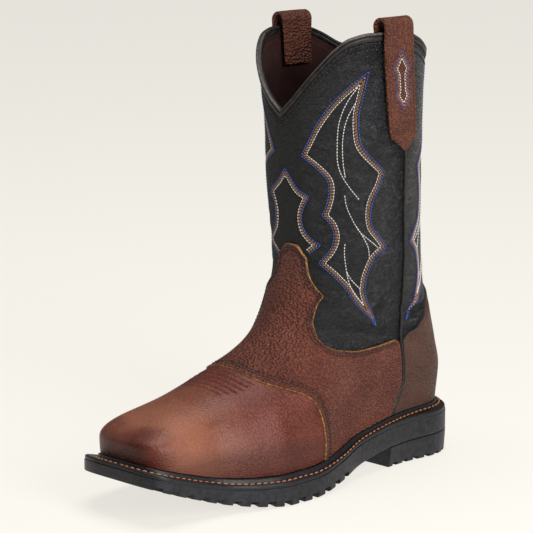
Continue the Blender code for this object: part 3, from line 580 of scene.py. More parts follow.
def bump(tree, height, out, depth, strength=1.0, under=None):
    """Relief from a node's output, with another bump beneath it."""
    node = add_node(tree, "ShaderNodeBump", {"Strength": strength, "Distance": depth})
    join(tree, height, out, node, "Height")
    if under:
        join(tree, under, "Normal", node, "Normal")
    return node


def dress(tree, shader, colour, relief, level, gloss=None):
    """Join a recipe's colour, relief and roughness to its shader, at a specular level."""
    join(tree, colour, "Color", shader, "Base Color")
    join(tree, relief, "Normal", shader, "Normal")
    if gloss:
        join(tree, gloss, "Color", shader, "Roughness")
    shader.inputs["Specular IOR Level"].default_value = level


# %% The pebbled brown leather of the saddle, counter and straps
def pebbled_leather(name, deep, middle, light, pebble, depth, worn):
    """Leather with rounded pebbles: three dyes, pebbles per metre, relief, rubbed share."""
    finish, tree, shader = start_finish(name)
    spot = place_on_boot(tree, (1, 1, 1.45), bend=0.0011, bend_scale=260)
    plain = place_on_boot(tree)
    tone = noise(tree, plain, 26, 5, 0.6)
    colour = ramp(tree, tone, "Fac", [(0.30, deep), (0.5, middle), (0.72, light)])
    grain = cells(tree, spot, pebble, smooth=0.45)
    # the pits between the pebbles are darkened: painted shade in them
    painted_pit_shade = ramp(tree, grain, "Distance", [(0.20, 1), (0.64, (0.22, 0.15, 0.13))])
    shaded = mix(tree, 0.62, (colour, "Color"), (painted_pit_shade, "Color"), "MULTIPLY")
    # high spots are rubbed back to the palest dye
    scuff = noise(tree, plain, 95, 6, 0.7)
    rubbed = ramp(tree, scuff, "Fac", [(0.52, 0), (0.75, worn)])
    final = mix(tree, (rubbed, "Color"), (shaded, "Color"), light)
    fine = noise(tree, plain, 2600, 3, 0.6)
    low = bump(tree, fine, "Fac", 0.00012, 0.5)
    domes = ramp(tree, grain, "Distance", [(0.1, 1), (0.8, 0)])
    high = bump(tree, domes, "Color", depth, 0.9, low)
    gloss = ramp(tree, grain, "Distance", [(0.2, 0.38), (0.7, 0.75)])
    dress(tree, shader, final, high, 0.30, gloss)
    return finish


saddle_leather = pebbled_leather(
    "saddle_leather", (0.120, 0.029, 0.016), (0.170, 0.046, 0.027), (0.225, 0.072, 0.044),
    pebble=520, depth=0.0024, worn=0.12,
)
counter_leather = pebbled_leather(
    "counter_leather", (0.060, 0.024, 0.015), (0.082, 0.034, 0.022), (0.105, 0.047, 0.031),
    pebble=1000, depth=0.0002, worn=0.1,
)
strap_leather = pebbled_leather(
    "strap_leather", (0.090, 0.024, 0.013), (0.140, 0.041, 0.021), (0.205, 0.070, 0.036),
    pebble=450, depth=0.0022, worn=0.15,
)
print("pebbled leathers ready")


# %% The smooth burnished leather of the toe
def burnished_leather():
    """Smooth leather, dark at the tip, painted shade at its foot, and a paler rubbed band."""
    finish, tree, shader = start_finish("toe_leather")
    plain = place_on_boot(tree)
    tone = noise(tree, plain, 22, 6, 0.62)
    dyes = [(0.34, (0.090, 0.016, 0.009)), (0.55, (0.155, 0.032, 0.017)), (0.78, (0.205, 0.052, 0.027))]
    dye = ramp(tree, tone, "Fac", dyes)
    axes = add_node(tree, "ShaderNodeSeparateXYZ")
    join(tree, plain[0], plain[1], axes, "Vector")
    # the burnish: dark at the very tip, a paler rubbed band behind it, plain further back
    front = add_node(tree, "ShaderNodeMapRange", {"From Min": -0.262, "From Max": -0.130})
    join(tree, axes, "Y", front, "Value")
    wander = noise(tree, plain, 30, 4, 0.6)
    shift = add_node(tree, "ShaderNodeMath", operation="MULTIPLY_ADD")
    shift.inputs[1].default_value = 0.28
    join(tree, wander, "Fac", shift, 0)
    join(tree, front, "Result", shift, 2)
    band = ramp(tree, shift, "Value", [(0.24, 0), (0.40, 0.80), (0.60, 0.65), (0.84, 0)])
    rubbed = mix(tree, (band, "Color"), (dye, "Color"), (0.265, 0.100, 0.055))
    tip = ramp(tree, shift, "Value", [(0.20, (0.50, 0.36, 0.34)), (0.38, 1)])
    rubbed = mix(tree, 1.0, (rubbed, "Color"), (tip, "Color"), "MULTIPLY")
    # painted shade: the hide is darkened low on the toe, beside the welt
    foot = add_node(tree, "ShaderNodeMapRange", {"From Min": 0.034, "From Max": 0.045})
    join(tree, axes, "Z", foot, "Value")
    painted_welt_shade = ramp(tree, foot, "Result", [(0.0, (0.50, 0.42, 0.42)), (1.0, 1)])
    rubbed = mix(tree, 0.8, (rubbed, "Color"), (painted_welt_shade, "Color"), "MULTIPLY")
    # the grain is pressed flat at the tip and shows towards the saddle, with painted shade in its pits
    grain = cells(tree, place_on_boot(tree, (1, 1, 1.3), 0.0008, 300), 620, smooth=0.45)
    painted_pit_shade = ramp(tree, grain, "Distance", [(0.2, 1), (0.66, (0.42, 0.34, 0.32))])
    back = ramp(tree, shift, "Value", [(0.50, 0.12), (0.85, 0.75)])
    shaded = mix(tree, (back, "Color"), (rubbed, "Color"), (painted_pit_shade, "Color"), "MULTIPLY")
    scuff = noise(tree, place_on_boot(tree, (1, 1, 2.6)), 60, 6, 0.7)
    marks = ramp(tree, scuff, "Fac", [(0.56, 0), (0.72, 0.5)])
    final = mix(tree, (marks, "Color"), (shaded, "Color"), (0.060, 0.020, 0.014))
    fine = noise(tree, plain, 1900, 4, 0.6)
    low = bump(tree, fine, "Fac", 0.00010, 0.45)
    domes = ramp(tree, grain, "Distance", [(0.1, 1), (0.8, 0)])
    high = bump(tree, domes, "Color", 0.00035, 0.6, low)
    gloss = ramp(tree, tone, "Fac", [(0.3, 0.40), (0.75, 0.56)])
    shader.inputs["Coat Weight"].default_value = 0.03
    shader.inputs["Coat Roughness"].default_value = 0.35
    dress(tree, shader, final, high, 0.3, gloss)
    return finish


toe_leather = burnished_leather()
print("toe leather ready")


# %% The black crackled leather of the shaft
def black_leather():
    """Black crackled leather, with a painted sheen on the outer side and painted shade in front."""
    finish, tree, shader = start_finish("shaft_leather")
    plain = place_on_boot(tree)
    wavy = place_on_boot(tree, (1, 1, 1.7), 0.006, 60)
    creased = noise(tree, wavy, 115, 8, 0.68)
    veins = cells(tree, place_on_boot(tree, (1, 1, 1.5), 0.004, 110), 230, "DISTANCE_TO_EDGE")
    tone = noise(tree, plain, 20, 5, 0.6)
    dyes = [
        (0.32, (0.0020, 0.0019, 0.0026)), (0.55, (0.0055, 0.0053, 0.0072)), (0.78, (0.015, 0.0148, 0.019)),
    ]
    colour = ramp(tree, tone, "Fac", dyes)
    # paler along the raised crease ridges: partly rubbed wear, partly painted highlight
    worn = ramp(tree, creased, "Fac", [(0.48, 0), (0.68, 0.8)])
    rubbed = mix(tree, (worn, "Color"), (colour, "Color"), (0.026, 0.027, 0.032))
    # painted sheen and shade: the colour is paler on the outer side, with brighter patches, and
    # darker in front; the hide is also less rough on the outer side
    axes = add_node(tree, "ShaderNodeSeparateXYZ")
    join(tree, plain[0], plain[1], axes, "Vector")
    side = add_node(tree, "ShaderNodeMapRange", {"From Min": 0.008, "From Max": 0.046})
    join(tree, axes, "X", side, "Value")
    painted_side_sheen = mix(tree, (side, "Result"), (0.28, 0.28, 0.30), (1.0, 1.0, 1.0))
    painted_sheen_patch = ramp(tree, noise(tree, plain, 34, 4, 0.6), "Fac", [(0.32, 0), (0.70, 1)])
    paler = mix(tree, (painted_sheen_patch, "Color"), (painted_side_sheen, "Color"), (2.5, 2.5, 2.6))
    shade = mix(tree, (side, "Result"), (painted_side_sheen, "Color"), (paler, "Color"))
    toned = mix(tree, 1.0, (rubbed, "Color"), (shade, "Color"), "MULTIPLY")
    # darker along the sunk cracks: painted shade in them
    cracks = ramp(tree, veins, "Distance", [(0.0, 0.30), (0.18, 1)])
    final = mix(tree, 0.85, (toned, "Color"), (cracks, "Color"), "MULTIPLY")
    # relief from the finest to the broadest: pores, cracks, soft puffs and creases
    grain = cells(tree, place_on_boot(tree, (1, 1, 1), 0.0006, 400), 1150, smooth=0.5)
    low = bump(tree, grain, "Distance", 0.00020, 0.5)
    edges = ramp(tree, veins, "Distance", [(0.0, 0), (0.10, 1)])
    middle = bump(tree, edges, "Color", 0.0011, 0.8, low)
    puffs = noise(tree, wavy, 26, 3, 0.5)
    broad = bump(tree, puffs, "Fac", 0.010, 0.8, middle)
    high = bump(tree, creased, "Fac", 0.0060, 1.0, broad)
    gloss = ramp(tree, creased, "Fac", [(0.35, 0.38), (0.70, 0.20)])
    matt = mix(tree, (side, "Result"), (0.72, 0.72, 0.72), (gloss, "Color"))
    dress(tree, shader, final, high, 0.42, matt)
    return finish


shaft_leather = black_leather()
print("shaft leather ready")


# %% Recipes for plain surfaces and for the lining
def plain_finish(name, dark, light, scale, roughness, depth=0.0001, detail=4, level=0.5):
    """One tone of uneven colour with a fine relief."""
    finish, tree, shader = start_finish(name, roughness)
    spot = place_on_boot(tree)
    tone = noise(tree, spot, scale, detail, 0.6)
    colour = ramp(tree, tone, "Fac", [(0.35, dark), (0.68, light)])
    relief = bump(tree, tone, "Fac", depth, 0.6)
    dress(tree, shader, colour, relief, level)
    return finish


def woven_lining():
    """A dark brown woven textile."""
    finish, tree, shader = start_finish("lining_textile", 0.9)
    spot = place_on_boot(tree)
    tone = noise(tree, spot, 40, 4)
    colour = ramp(tree, tone, "Fac", [(0.3, (0.022, 0.0085, 0.0075)), (0.7, (0.050, 0.019, 0.016))])
    weave = cells(tree, place_on_boot(tree), 1500, "F1")
    relief = bump(tree, weave, "Distance", 0.0003, 0.6)
    dress(tree, shader, colour, relief, 0.2)
    return finish


# %% Cut edges, piping, lining, rubber and thread
ochre_edge = plain_finish("ochre_edge", (0.030, 0.013, 0.008), (0.42, 0.23, 0.045), 700, 0.8)
brown_edge = plain_finish("brown_edge", (0.008, 0.005, 0.004), (0.022, 0.012, 0.009), 420, 0.8)
piping_leather = plain_finish(
    "piping_leather", (0.005, 0.004, 0.004), (0.022, 0.018, 0.016), 300, 0.42, level=0.25
)
bead_leather = plain_finish(
    "bead_leather", (0.035, 0.029, 0.028), (0.120, 0.100, 0.094), 500, 0.5, level=0.25
)
lining_textile = woven_lining()
edge_rubber = plain_finish(
    "edge_rubber", (0.006, 0.0057, 0.0075), (0.018, 0.017, 0.022), 260, 0.48, 0.0007, 6, 0.3
)
welt_rubber = plain_finish(
    "welt_rubber", (0.006, 0.0055, 0.007), (0.015, 0.014, 0.017), 700, 0.42, 0.0003, 5, 0.3
)
orange_thread = plain_finish("orange_thread", (0.27, 0.085, 0.030), (0.46, 0.17, 0.065), 1800, 0.62)
blue_thread = plain_finish("blue_thread", (0.022, 0.060, 0.260), (0.050, 0.125, 0.440), 1800, 0.5)
copper_thread = plain_finish("copper_thread", (0.25, 0.110, 0.050), (0.47, 0.24, 0.125), 1800, 0.5)
white_thread = plain_finish("white_thread", (0.50, 0.48, 0.45), (0.78, 0.76, 0.72), 1800, 0.5)
dark_thread = plain_finish("dark_thread", (0.004, 0.003, 0.003), (0.014, 0.009, 0.008), 1800, 0.6)
brown_thread = plain_finish("brown_thread", (0.035, 0.012, 0.008), (0.085, 0.030, 0.018), 1800, 0.6)
print("edges, rubber, lining and threads ready")

# %% [markdown]
# ## The skin that all the leather lies on
# A leather upper isn't a perfect tube: it has soft lumps, and it folds where the ankle bends.
# The smooth form is read on a fine grid of levels and columns. Each point then moves along
# its normal by a relief made of slow waves and of a short table of folds, which were placed
# to match the photograph.

# %% A fine grid of the form
FINE_COLUMNS = 380
FINE_ROWS = 256


def fine_angles(count):
    """Angles of the columns: the same on both sides, closer at the corners."""
    turn = np.linspace(0, np.pi, 181)
    walked = turn / np.pi
    for side in (1, -1):
        line = on_skin(side * turn, np.zeros_like(turn))
        steps = np.linalg.norm(np.diff(line, axis=0), axis=1)
        walked = walked + 0.8 * np.concatenate([[0], np.cumsum(steps)]) / steps.sum()
    half = np.interp(np.linspace(0, walked[-1], count // 2 + 1), walked, turn)
    return np.concatenate([half, 2 * np.pi - half[-2:0:-1]])


ANGLES = fine_angles(FINE_COLUMNS)
LEVEL_STEPS = np.linspace(0, 1, FINE_ROWS)
FORM = on_skin(ANGLES[None, :], LEVEL_STEPS[:, None])
FORM_NORMAL = outward(FORM)
print("form read at", FORM.shape[0] * FORM.shape[1], "points")

# %% Turn and height of a point, the shaft's own map
TURN_CENTRE = 0.237 * SOLE_LENGTH
TURN_ALONG = 0.19 * SOLE_LENGTH
TURN_ACROSS = SIDE_SPREAD * SOLE_LENGTH


def turn_of(points):
    """Degrees round the shaft: 0 at the front, 90 at the outer side."""
    across = points[..., 1] / TURN_ACROSS
    along = (points[..., 0] - TURN_CENTRE) / TURN_ALONG
    return np.degrees(np.arctan2(across, along))


# %% Folds, slow waves and puckers of the shaft
# folds: from (turn, height) to (turn, height), width and depth in mm
FOLDS = {
    "turn_a": (30, 44, 62, 70, 20, 92, 96, 100, -30, -50, -70, 40, 66, 150, 175, -150, 10, 52, 76, -20),
    "up_a": (118, 108, 112, 120, 128, 112, 104, 96, 116, 106,
             112, 132, 98, 110, 100, 108, 150, 150, 140, 170),
    "turn_b": (52, 70, 84, 60, 38, 128, 138, 124, -50, -72, -84, 62, 84, 190, 205, -120, 28, 66, 60, -34),
    "up_b": (104, 98, 128, 96, 118, 106, 112, 84, 104, 98,
             124, 126, 100, 104, 108, 100, 142, 158, 150, 160),
    "width": (3.2, 3.0, 2.6, 3.4, 3.0, 3.4, 2.8, 3.0, 3.2, 3.0,
              2.8, 3.4, 2.4, 3.6, 3.2, 3.0, 3.6, 4.2, 3.6, 4.0),
    "depth": (0.7, 0.75, 0.55, 0.5, 0.5, 0.8, 0.6, 0.6, 0.7, 0.7,
              0.5, 0.4, 0.55, 0.6, 0.6, 0.6, 0.35, 0.35, 0.3, 0.3),
}
MM_PER_DEGREE = 0.92  # round the shaft
FOLD_STRENGTH = 1.9
RIDGE_SHARE = 0.55  # height of the ridges beside a fold


def fold_relief(points):
    """Valleys with a ridge on either side, in mm."""
    turn = turn_of(points) % 360
    u = turn * MM_PER_DEGREE
    v = points[..., 2] * 1000
    total = np.zeros_like(u)
    for a, za, b, zb, width, depth in zip(*FOLDS.values()):
        for wrap in (0, 360):
            start = np.array([(a + wrap) * MM_PER_DEGREE, za])
            end = np.array([(b + wrap) * MM_PER_DEGREE, zb])
            way = end - start
            share = np.clip(((u - start[0]) * way[0] + (v - start[1]) * way[1]) / (way @ way), 0, 1)
            gap = np.hypot(u - start[0] - share * way[0], v - start[1] - share * way[1])
            fade = np.sin(np.pi * np.clip(share, 0.02, 0.98)) ** 0.5
            valley = np.exp(-((gap / width) ** 2))
            ridge = np.exp(-(((gap - 1.9 * width) / width) ** 2))
            total -= FOLD_STRENGTH * depth * fade * (valley - RIDGE_SHARE * ridge)
    return total


def slow_relief(points):
    """Soft lumps of the shaft, in mm."""
    s, x, z = (points[..., i] * 1000 for i in range(3))
    shaft = np.clip((z - 95) / 60, 0, 1)
    waves = np.sin(z / 13 + x / 17 + 1.3) + np.sin(z / 21 - s / 15) + np.sin((s + x) / 11 + z / 29)
    small = np.sin(z / 6.1 + s / 7.3) * np.sin(x / 6.7 - z / 9.1)
    return shaft * (0.16 * waves + 0.10 * small)


RELIEF_LIMIT = 0.0016
COLLAR_STITCHES = (5.6, 9.8)  # two rows, in mm below the collar's edge
STITCH_SINK = 0.0004
PUCKER = 0.0003  # how far the leather stands up between the two rows


def relief_at(points):
    return np.clip((fold_relief(points) + slow_relief(points)) / 1000, -RELIEF_LIMIT, RELIEF_LIMIT)


relief = relief_at(FORM)
column_steps = np.linalg.norm(np.diff(FORM[::-1], axis=0), axis=2)
rim_drop = np.vstack([np.zeros((1, FORM.shape[1])), np.cumsum(column_steps, axis=0)])[::-1] * 1000
for row in COLLAR_STITCHES:
    relief -= STITCH_SINK * np.exp(-(((rim_drop - row) / 0.9) ** 2))
relief += PUCKER * np.exp(-(((rim_drop - sum(COLLAR_STITCHES) / 2) / 1.2) ** 2))
rim_calm = np.clip((1 - LEVEL_STEPS) / 0.05, 0, 1) * np.clip(LEVEL_STEPS / 0.05, 0, 1)
SKIN = FORM + FORM_NORMAL * (relief * rim_calm[:, None])[..., None]
print("relief from", round(float(relief.min()) * 1000, 2), "to", round(float(relief.max()) * 1000, 2), "mm")

# %% [markdown]
# ## The shaft and its lining
# The upper is one leather tube with a textile lining, open at the collar. The outer leather
# and the lining are two pieces, each with its own finish, and together they stand for the
# one hollow solid. They meet under the collar's binding.

# %% Sew the shaft's two layers
LINING_OFFSET = -(UPPER_WALL - 0.0001)


def wall_piece(name, offset, finish, inside=False):
    """One layer of the upper, at an offset from the skin."""
    rings = list(to_world(SKIN + FORM_NORMAL * offset))
    low = on_skin(ANGLES, 0.0, rim_height)
    away = level_way(outward(low))
    rings.insert(0, to_world(low + away * offset))
    count = len(rings)
    faces = ring_faces(count, FINE_COLUMNS, caps=False)
    if not inside:
        faces = [f[::-1] for f in faces]
    return make_piece(name, np.concatenate(rings), faces, [finish], 60)


shaft = wall_piece("shaft", 0.0, shaft_leather)
lining = wall_piece("shaft_lining", LINING_OFFSET, lining_textile, inside=True)
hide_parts("upper")
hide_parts("upper")

# %% [markdown]
# ## Leather panels with true cut edges
# The toe, the saddle and the counter are flat hides cut to a pattern, wrapped on the skin and
# stitched down. Each one is taken from the skin's own grid. A field says how far each point is
# inside the pattern's edge. Triangles are split where the field has chosen values, so
# that the cut edge, its rounding and each line of stitches run exactly along the mesh.

# %% Helper: distance to a line drawn in the side view
def smooth_rows(table, shift_along=0.0, fine=6):
    """A table's rows as (s, z) points in metres, smoothed between them."""
    count = len(table["along"])
    track = {"row": np.arange(count), "along": table["along"], "up": table["up"]}
    walk = np.linspace(0, count - 1, fine * (count - 1) + 1)
    s = ease(track, "along", walk, "row") * SOLE_LENGTH + shift_along
    z = ease(track, "up", walk, "row") * SHAFT_HEIGHT
    return np.stack([s, z], -1)


def distance_to(points, line):
    """Shortest distance of (s, z) points to an open line."""
    flat = points[..., (0, 2)].reshape(-1, 2)
    best = np.full(len(flat), 1e9)
    for start, end in zip(line[:-1], line[1:]):
        way = end - start
        share = np.clip((flat - start) @ way / max(way @ way, 1e-12), 0, 1)
        gap = np.linalg.norm(flat - start - share[:, None] * way, axis=1)
        best = np.minimum(best, gap)
    return best.reshape(points.shape[:-1])


def inside_of(points, outline):
    """Signed distance to a closed side view outline: above zero inside."""
    flat = points[..., (0, 2)].reshape(-1, 2)
    odd = np.zeros(len(flat), bool)
    closed = np.vstack([outline, outline[:1]])
    for (s0, z0), (s1, z1) in zip(closed[:-1], closed[1:]):
        if z0 == z1:
            continue
        crosses = (flat[:, 1] < z0) != (flat[:, 1] < z1)
        at = s0 + (flat[:, 1] - z0) * (s1 - s0) / (z1 - z0)
        odd ^= crosses & (flat[:, 0] < at)
    gap = distance_to(points, closed).reshape(-1)
    return np.where(odd, gap, -gap).reshape(points.shape[:-1])


# %% Helper: take a panel from the skin's grid
PANEL_MARGIN = 0.004  # taken beyond the pattern's edge, then trimmed


def take_panel(fields, keep):
    """Triangles of the skin's grid where any corner of keep is true."""
    index = np.arange(FINE_ROWS * FINE_COLUMNS).reshape(FINE_ROWS, FINE_COLUMNS)
    here = index[:-1]
    up = index[1:]
    beside = np.roll(index, -1, axis=1)
    triangles = np.concatenate([
        np.stack([here, beside[:-1], beside[1:]], -1).reshape(-1, 3),
        np.stack([here, beside[1:], up], -1).reshape(-1, 3),
    ])
    triangles = triangles[keep.reshape(-1)[triangles].any(1)]
    used, triangles = np.unique(triangles, return_inverse=True)
    panel = {"faces": triangles.reshape(-1, 3)}
    panel["at"] = SKIN.reshape(-1, 3)[used]
    panel["normal"] = FORM_NORMAL.reshape(-1, 3)[used]
    for name, field in fields.items():
        panel[name] = field.reshape(-1)[used]
    return panel


# %% Helpers: split a panel along a field, and trim it
def split_panel(panel, field, value):
    """Add points where the field has the value, and cut the triangles there."""
    level = panel[field] - value
    level[np.abs(level) < 2e-6] = 0.0
    above = level > 0
    below = level < 0
    faces = panel["faces"]
    mixed = above[faces].any(1) & below[faces].any(1)
    made = [tuple(f) for f in faces[~mixed]]
    cuts = {}
    pairs = []
    count = len(level)

    def middle(a, b):
        key = (min(a, b), max(a, b))
        if key not in cuts:
            cuts[key] = count + len(pairs)
            pairs.append((a, b))
        return cuts[key]

    for a, b, c in faces[mixed].tolist():
        for _ in range(3):
            sides = (np.sign(level[a]), np.sign(level[b]), np.sign(level[c]))
            if sides[0] == 0 or (sides[0] != sides[1] and sides[0] != sides[2] and 0 not in sides):
                break
            a, b, c = b, c, a
        if level[a] == 0:
            m = middle(b, c)
            made += [(a, b, m), (a, m, c)]
        else:
            m = middle(a, b)
            n = middle(a, c)
            made += [(a, m, n), (m, b, c), (m, c, n)]
    if pairs:
        pairs = np.array(pairs)
        share = level[pairs[:, 0]] / (level[pairs[:, 0]] - level[pairs[:, 1]])
        for key in panel:
            if key == "faces":
                continue
            column = panel[key]
            t = share[:, None] if column.ndim == 2 else share
            added = column[pairs[:, 0]] * (1 - t) + column[pairs[:, 1]] * t
            panel[key] = np.concatenate([column, added])
        panel[field][count:] = value
    panel["faces"] = np.array(made)


def trim_panel(panel, field, value=0.0):
    """Keep the triangles whose field is at or above the value."""
    faces = panel["faces"]
    keep = panel[field][faces].mean(1) > value
    faces = faces[keep]
    used, faces = np.unique(faces, return_inverse=True)
    panel["faces"] = faces.reshape(-1, 3)
    for key in panel:
        if key != "faces":
            panel[key] = panel[key][used]


def cut_panel(fields, steps):
    """The skin's part inside a pattern, with lines in the mesh along its edge."""
    panel = take_panel(fields, fields["inside"] > -PANEL_MARGIN)
    for value in steps:
        split_panel(panel, "inside", value)
    trim_panel(panel, "inside")
    return panel


def split_rows(panel, field, rows, shifts):
    """Lines in the mesh along each row of stitches and beside it."""
    for row in rows:
        for shift in shifts:
            split_panel(panel, field, row + shift)


def along_skin(field):
    """A distance in the pattern's plane, turned into one along the skin."""
    round_step = np.roll(FORM, -1, axis=1) - np.roll(FORM, 1, axis=1)
    round_change = np.roll(field, -1, axis=1) - np.roll(field, 1, axis=1)
    up_step = np.gradient(FORM, axis=0)
    up_change = np.gradient(field, axis=0)
    round_slope = round_change / np.linalg.norm(round_step, axis=2)
    up_slope = up_change / np.linalg.norm(up_step, axis=2)
    slope = np.hypot(round_slope, up_slope)
    return field / np.clip(slope, 0.15, 1)


# %% Helpers: close a panel with its cut edge
def rim_edges(faces):
    """Edges with a face on one side only, in the faces' own direction."""
    sides = {}
    for a, b, c in faces.tolist():
        for edge in ((a, b), (b, c), (c, a)):
            sides[edge] = True
    return [edge for edge in sides if (edge[1], edge[0]) not in sides]


def close_panel(name, panel, offset, finishes, raw, sharp=50):
    """The panel's outer face at its offset, and a wall down to the skin at its rim."""
    top = panel["at"] + panel["normal"] * offset[:, None]
    edges = rim_edges(panel["faces"])
    corners = sorted({p for edge in edges for p in edge})
    place = {p: len(top) + i for i, p in enumerate(corners)}
    foot = panel["at"][corners] + panel["normal"][corners] * 0.00005
    faces = [tuple(f) for f in panel["faces"].tolist()]
    edge_faces = [(a, place[a], place[b], b)[::-1] for a, b in edges]
    points = to_world(np.vstack([top, foot]))
    piece = make_piece(name, points, faces + edge_faces, finishes, sharp)
    marks = [1 if flag else 0 for flag in raw[panel["faces"]].all(1)] + [1] * len(edge_faces)
    piece.data.polygons.foreach_set("material_index", marks)
    face_out(piece)
    return piece


def edge_round(field, thick, reach=0.0009):
    """A cut edge: square at the bottom, rounded off at the top."""
    t = np.clip(field / reach, 0, 1)
    return thick * (0.55 + 0.45 * np.sqrt(1 - (1 - t) ** 2))


def sunk_rows(field, rows, depth, width):
    """A shallow groove along each row of stitches."""
    total = np.zeros_like(field)
    for row in rows:
        total -= depth * np.exp(-(((field - row) / width) ** 2))
    return total


print("panel tools ready")

# %% [markdown]
# ## Stitches as real thread
# Every seam shows its stitches, so each one is a short capsule that dips into the leather at
# both ends. A seam is a line of points with normals. The stitches are laid along it at an
# even pitch, and all the stitches of one seam and colour become one mesh.

# %% The shape of a stitch, and each seam's sizes
# each ring of a stitch: share of its length, and its radius and rise as shares of the thread's
STITCH_SHAPE = (
    (0.0, 0.40, -0.9), (0.14, 0.90, 0.0), (0.5, 1.0, 0.35), (0.86, 0.90, 0.0), (1.0, 0.40, -0.9),
)
STITCH_SIDES = 6
# pitch, length and thread radius of each seam
TOE_SEAM = (0.0024, 0.0018, 0.00026)
SADDLE_SEAM = (0.0027, 0.0020, 0.00042)
COUNTER_SEAM = (0.0027, 0.0019, 0.00028)
COLLAR_SEAM = (0.0036, 0.0027, 0.00055)
STRAP_SEAM = (0.0028, 0.0019, 0.00030)
TIP_SEAM = (0.0028, 0.0019, 0.00028)
LOZENGE_SEAM = (0.0020, 0.0015, 0.00033)
WELT_SEAM = (0.0047, 0.0037, 0.00060)
FLAME_SEAMS = {
    "blue": (0.0021, 0.00165, 0.00036),
    "copper": (0.0021, 0.00165, 0.00030),
    "white": (0.0021, 0.00165, 0.00031),
}


# %% Helpers: lay stitches along a line
def to_world_way(ways):
    """Directions (s, x, z) to the object's frame."""
    return np.stack([ways[..., 1], -ways[..., 0], ways[..., 2]], -1)


def even_spots(points, pitch, length):
    """Starts and ends of stitches along a line, by distance."""
    steps = np.linalg.norm(np.diff(points, axis=0), axis=1)
    walked = np.concatenate([[0], np.cumsum(steps)])
    count = int((walked[-1] + pitch - length) / pitch)
    if count < 1:
        return walked, np.zeros(0)
    slack = (walked[-1] - (count * pitch - (pitch - length))) / 2
    return walked, slack + np.arange(count) * pitch


def lay_stitches(bag, points, normals, seam, lift=0.6):
    """Add a line of stitches to a bag. Lift is how high they lie, as a share of the radius."""
    pitch, length, radius = seam
    points = np.asarray(points, float)
    normals = np.asarray(normals, float)
    walked, starts = even_spots(points, pitch, length)
    if len(starts) == 0:
        return

    def read(array, at):
        return np.stack([np.interp(at, walked, array[:, i]) for i in range(3)], -1)

    up = unit(read(normals, starts + length / 2))
    first = read(points, starts) + up * radius * lift
    last = read(points, starts + length) + up * radius * lift
    way = last - first
    side = unit(np.cross(way, up))
    up = unit(np.cross(side, way))
    rings = []
    for share, wide, rise in STITCH_SHAPE:
        middle = first + way * share + up * radius * rise
        for k in range(STITCH_SIDES):
            angle = 2 * math.pi * k / STITCH_SIDES
            out = math.cos(angle) * side + math.sin(angle) * up
            rings.append(middle + radius * wide * out)
    made = np.stack(rings, 1).reshape(-1, 3)
    one = ring_faces(len(STITCH_SHAPE), STITCH_SIDES)
    per = len(STITCH_SHAPE) * STITCH_SIDES
    for i in range(len(starts)):
        base = bag["count"] + i * per
        bag["faces"] += [tuple(base + v for v in face) for face in one]
    bag["points"].append(made)
    bag["count"] += len(made)


def new_bag():
    """An empty store of stitches, sewn later as one mesh."""
    return {"points": [], "faces": [], "count": 0}


def sew(name, bag, finish):
    """Make one mesh of a bag's stitches."""
    piece = make_piece(name, np.concatenate(bag["points"]), bag["faces"], [finish], 180)
    return piece


# %% Helper: the line of a field's value on a panel
def lines_on(panel, field, value, offset, keep=None):
    """Chains of the panel's points whose field has the value, with their normals."""
    on = np.abs(panel[field] - value) < 1e-9
    if keep is not None:
        on &= keep
    links = {}
    for a, b, c in panel["faces"].tolist():
        for p, q in ((a, b), (b, c), (c, a)):
            if on[p] and on[q]:
                links.setdefault(p, set()).add(q)
                links.setdefault(q, set()).add(p)
    top = panel["at"] + panel["normal"] * offset[:, None]
    top = to_world(top)
    ways = to_world_way(panel["normal"])
    left = set(links)
    lines = []
    while left:
        ends = [p for p in left if len(links[p]) == 1]
        here = ends[0] if ends else next(iter(left))
        chain = [here]
        left.discard(here)
        while True:
            ahead = [p for p in links[here] if p in left]
            if not ahead:
                break
            here = ahead[0]
            chain.append(here)
            left.discard(here)
        if len(chain) > 4:
            lines.append((top[chain], ways[chain]))
    return lines


# %% [markdown]
# ## The toe
# The forepart is one smooth hide, burnished paler behind the tip. Just in front of the saddle
# six rows of stitches pinch it into soft ridges, as on most boots of this kind. The ridges
# are in the mesh, so that light rolls over them.

# %% Cut the toe's hide and pinch its ridges
def in_rows(values):
    """Millimetres as metres."""
    return [float(v) / 1000 for v in values]


BUG_ROWS = in_rows((3.4, 7.6, 11.8, 16.0, 20.2, 24.4))  # ahead of the saddle's edge
BUG_HALF = in_rows((27, 26, 25, 23.5, 21.5, 19.5))  # half length of each row
BUG_MIDDLE = -0.003  # the rows centre on the foot's ridge
UNDERLAP = 0.0016  # how far the toe's hide runs on under the saddle
FAR = SOLE_LENGTH * 1.1

toe_edge = smooth_rows(SADDLE_FRONT, -UNDERLAP)
toe_outline = np.vstack([toe_edge, [(FAR, toe_edge[-1][1]), (FAR, toe_edge[0][1])]])
front_line = smooth_rows(SADDLE_FRONT)
fields = {
    "inside": inside_of(FORM, toe_outline),
    "ahead": distance_to(FORM, front_line),
    "across": FORM[..., 1] - BUG_MIDDLE,
}
toe = cut_panel(fields, (0.0, 0.0003, 0.0009))
split_rows(toe, "ahead", BUG_ROWS, (-0.0021, -0.0007, 0.0, 0.0007))


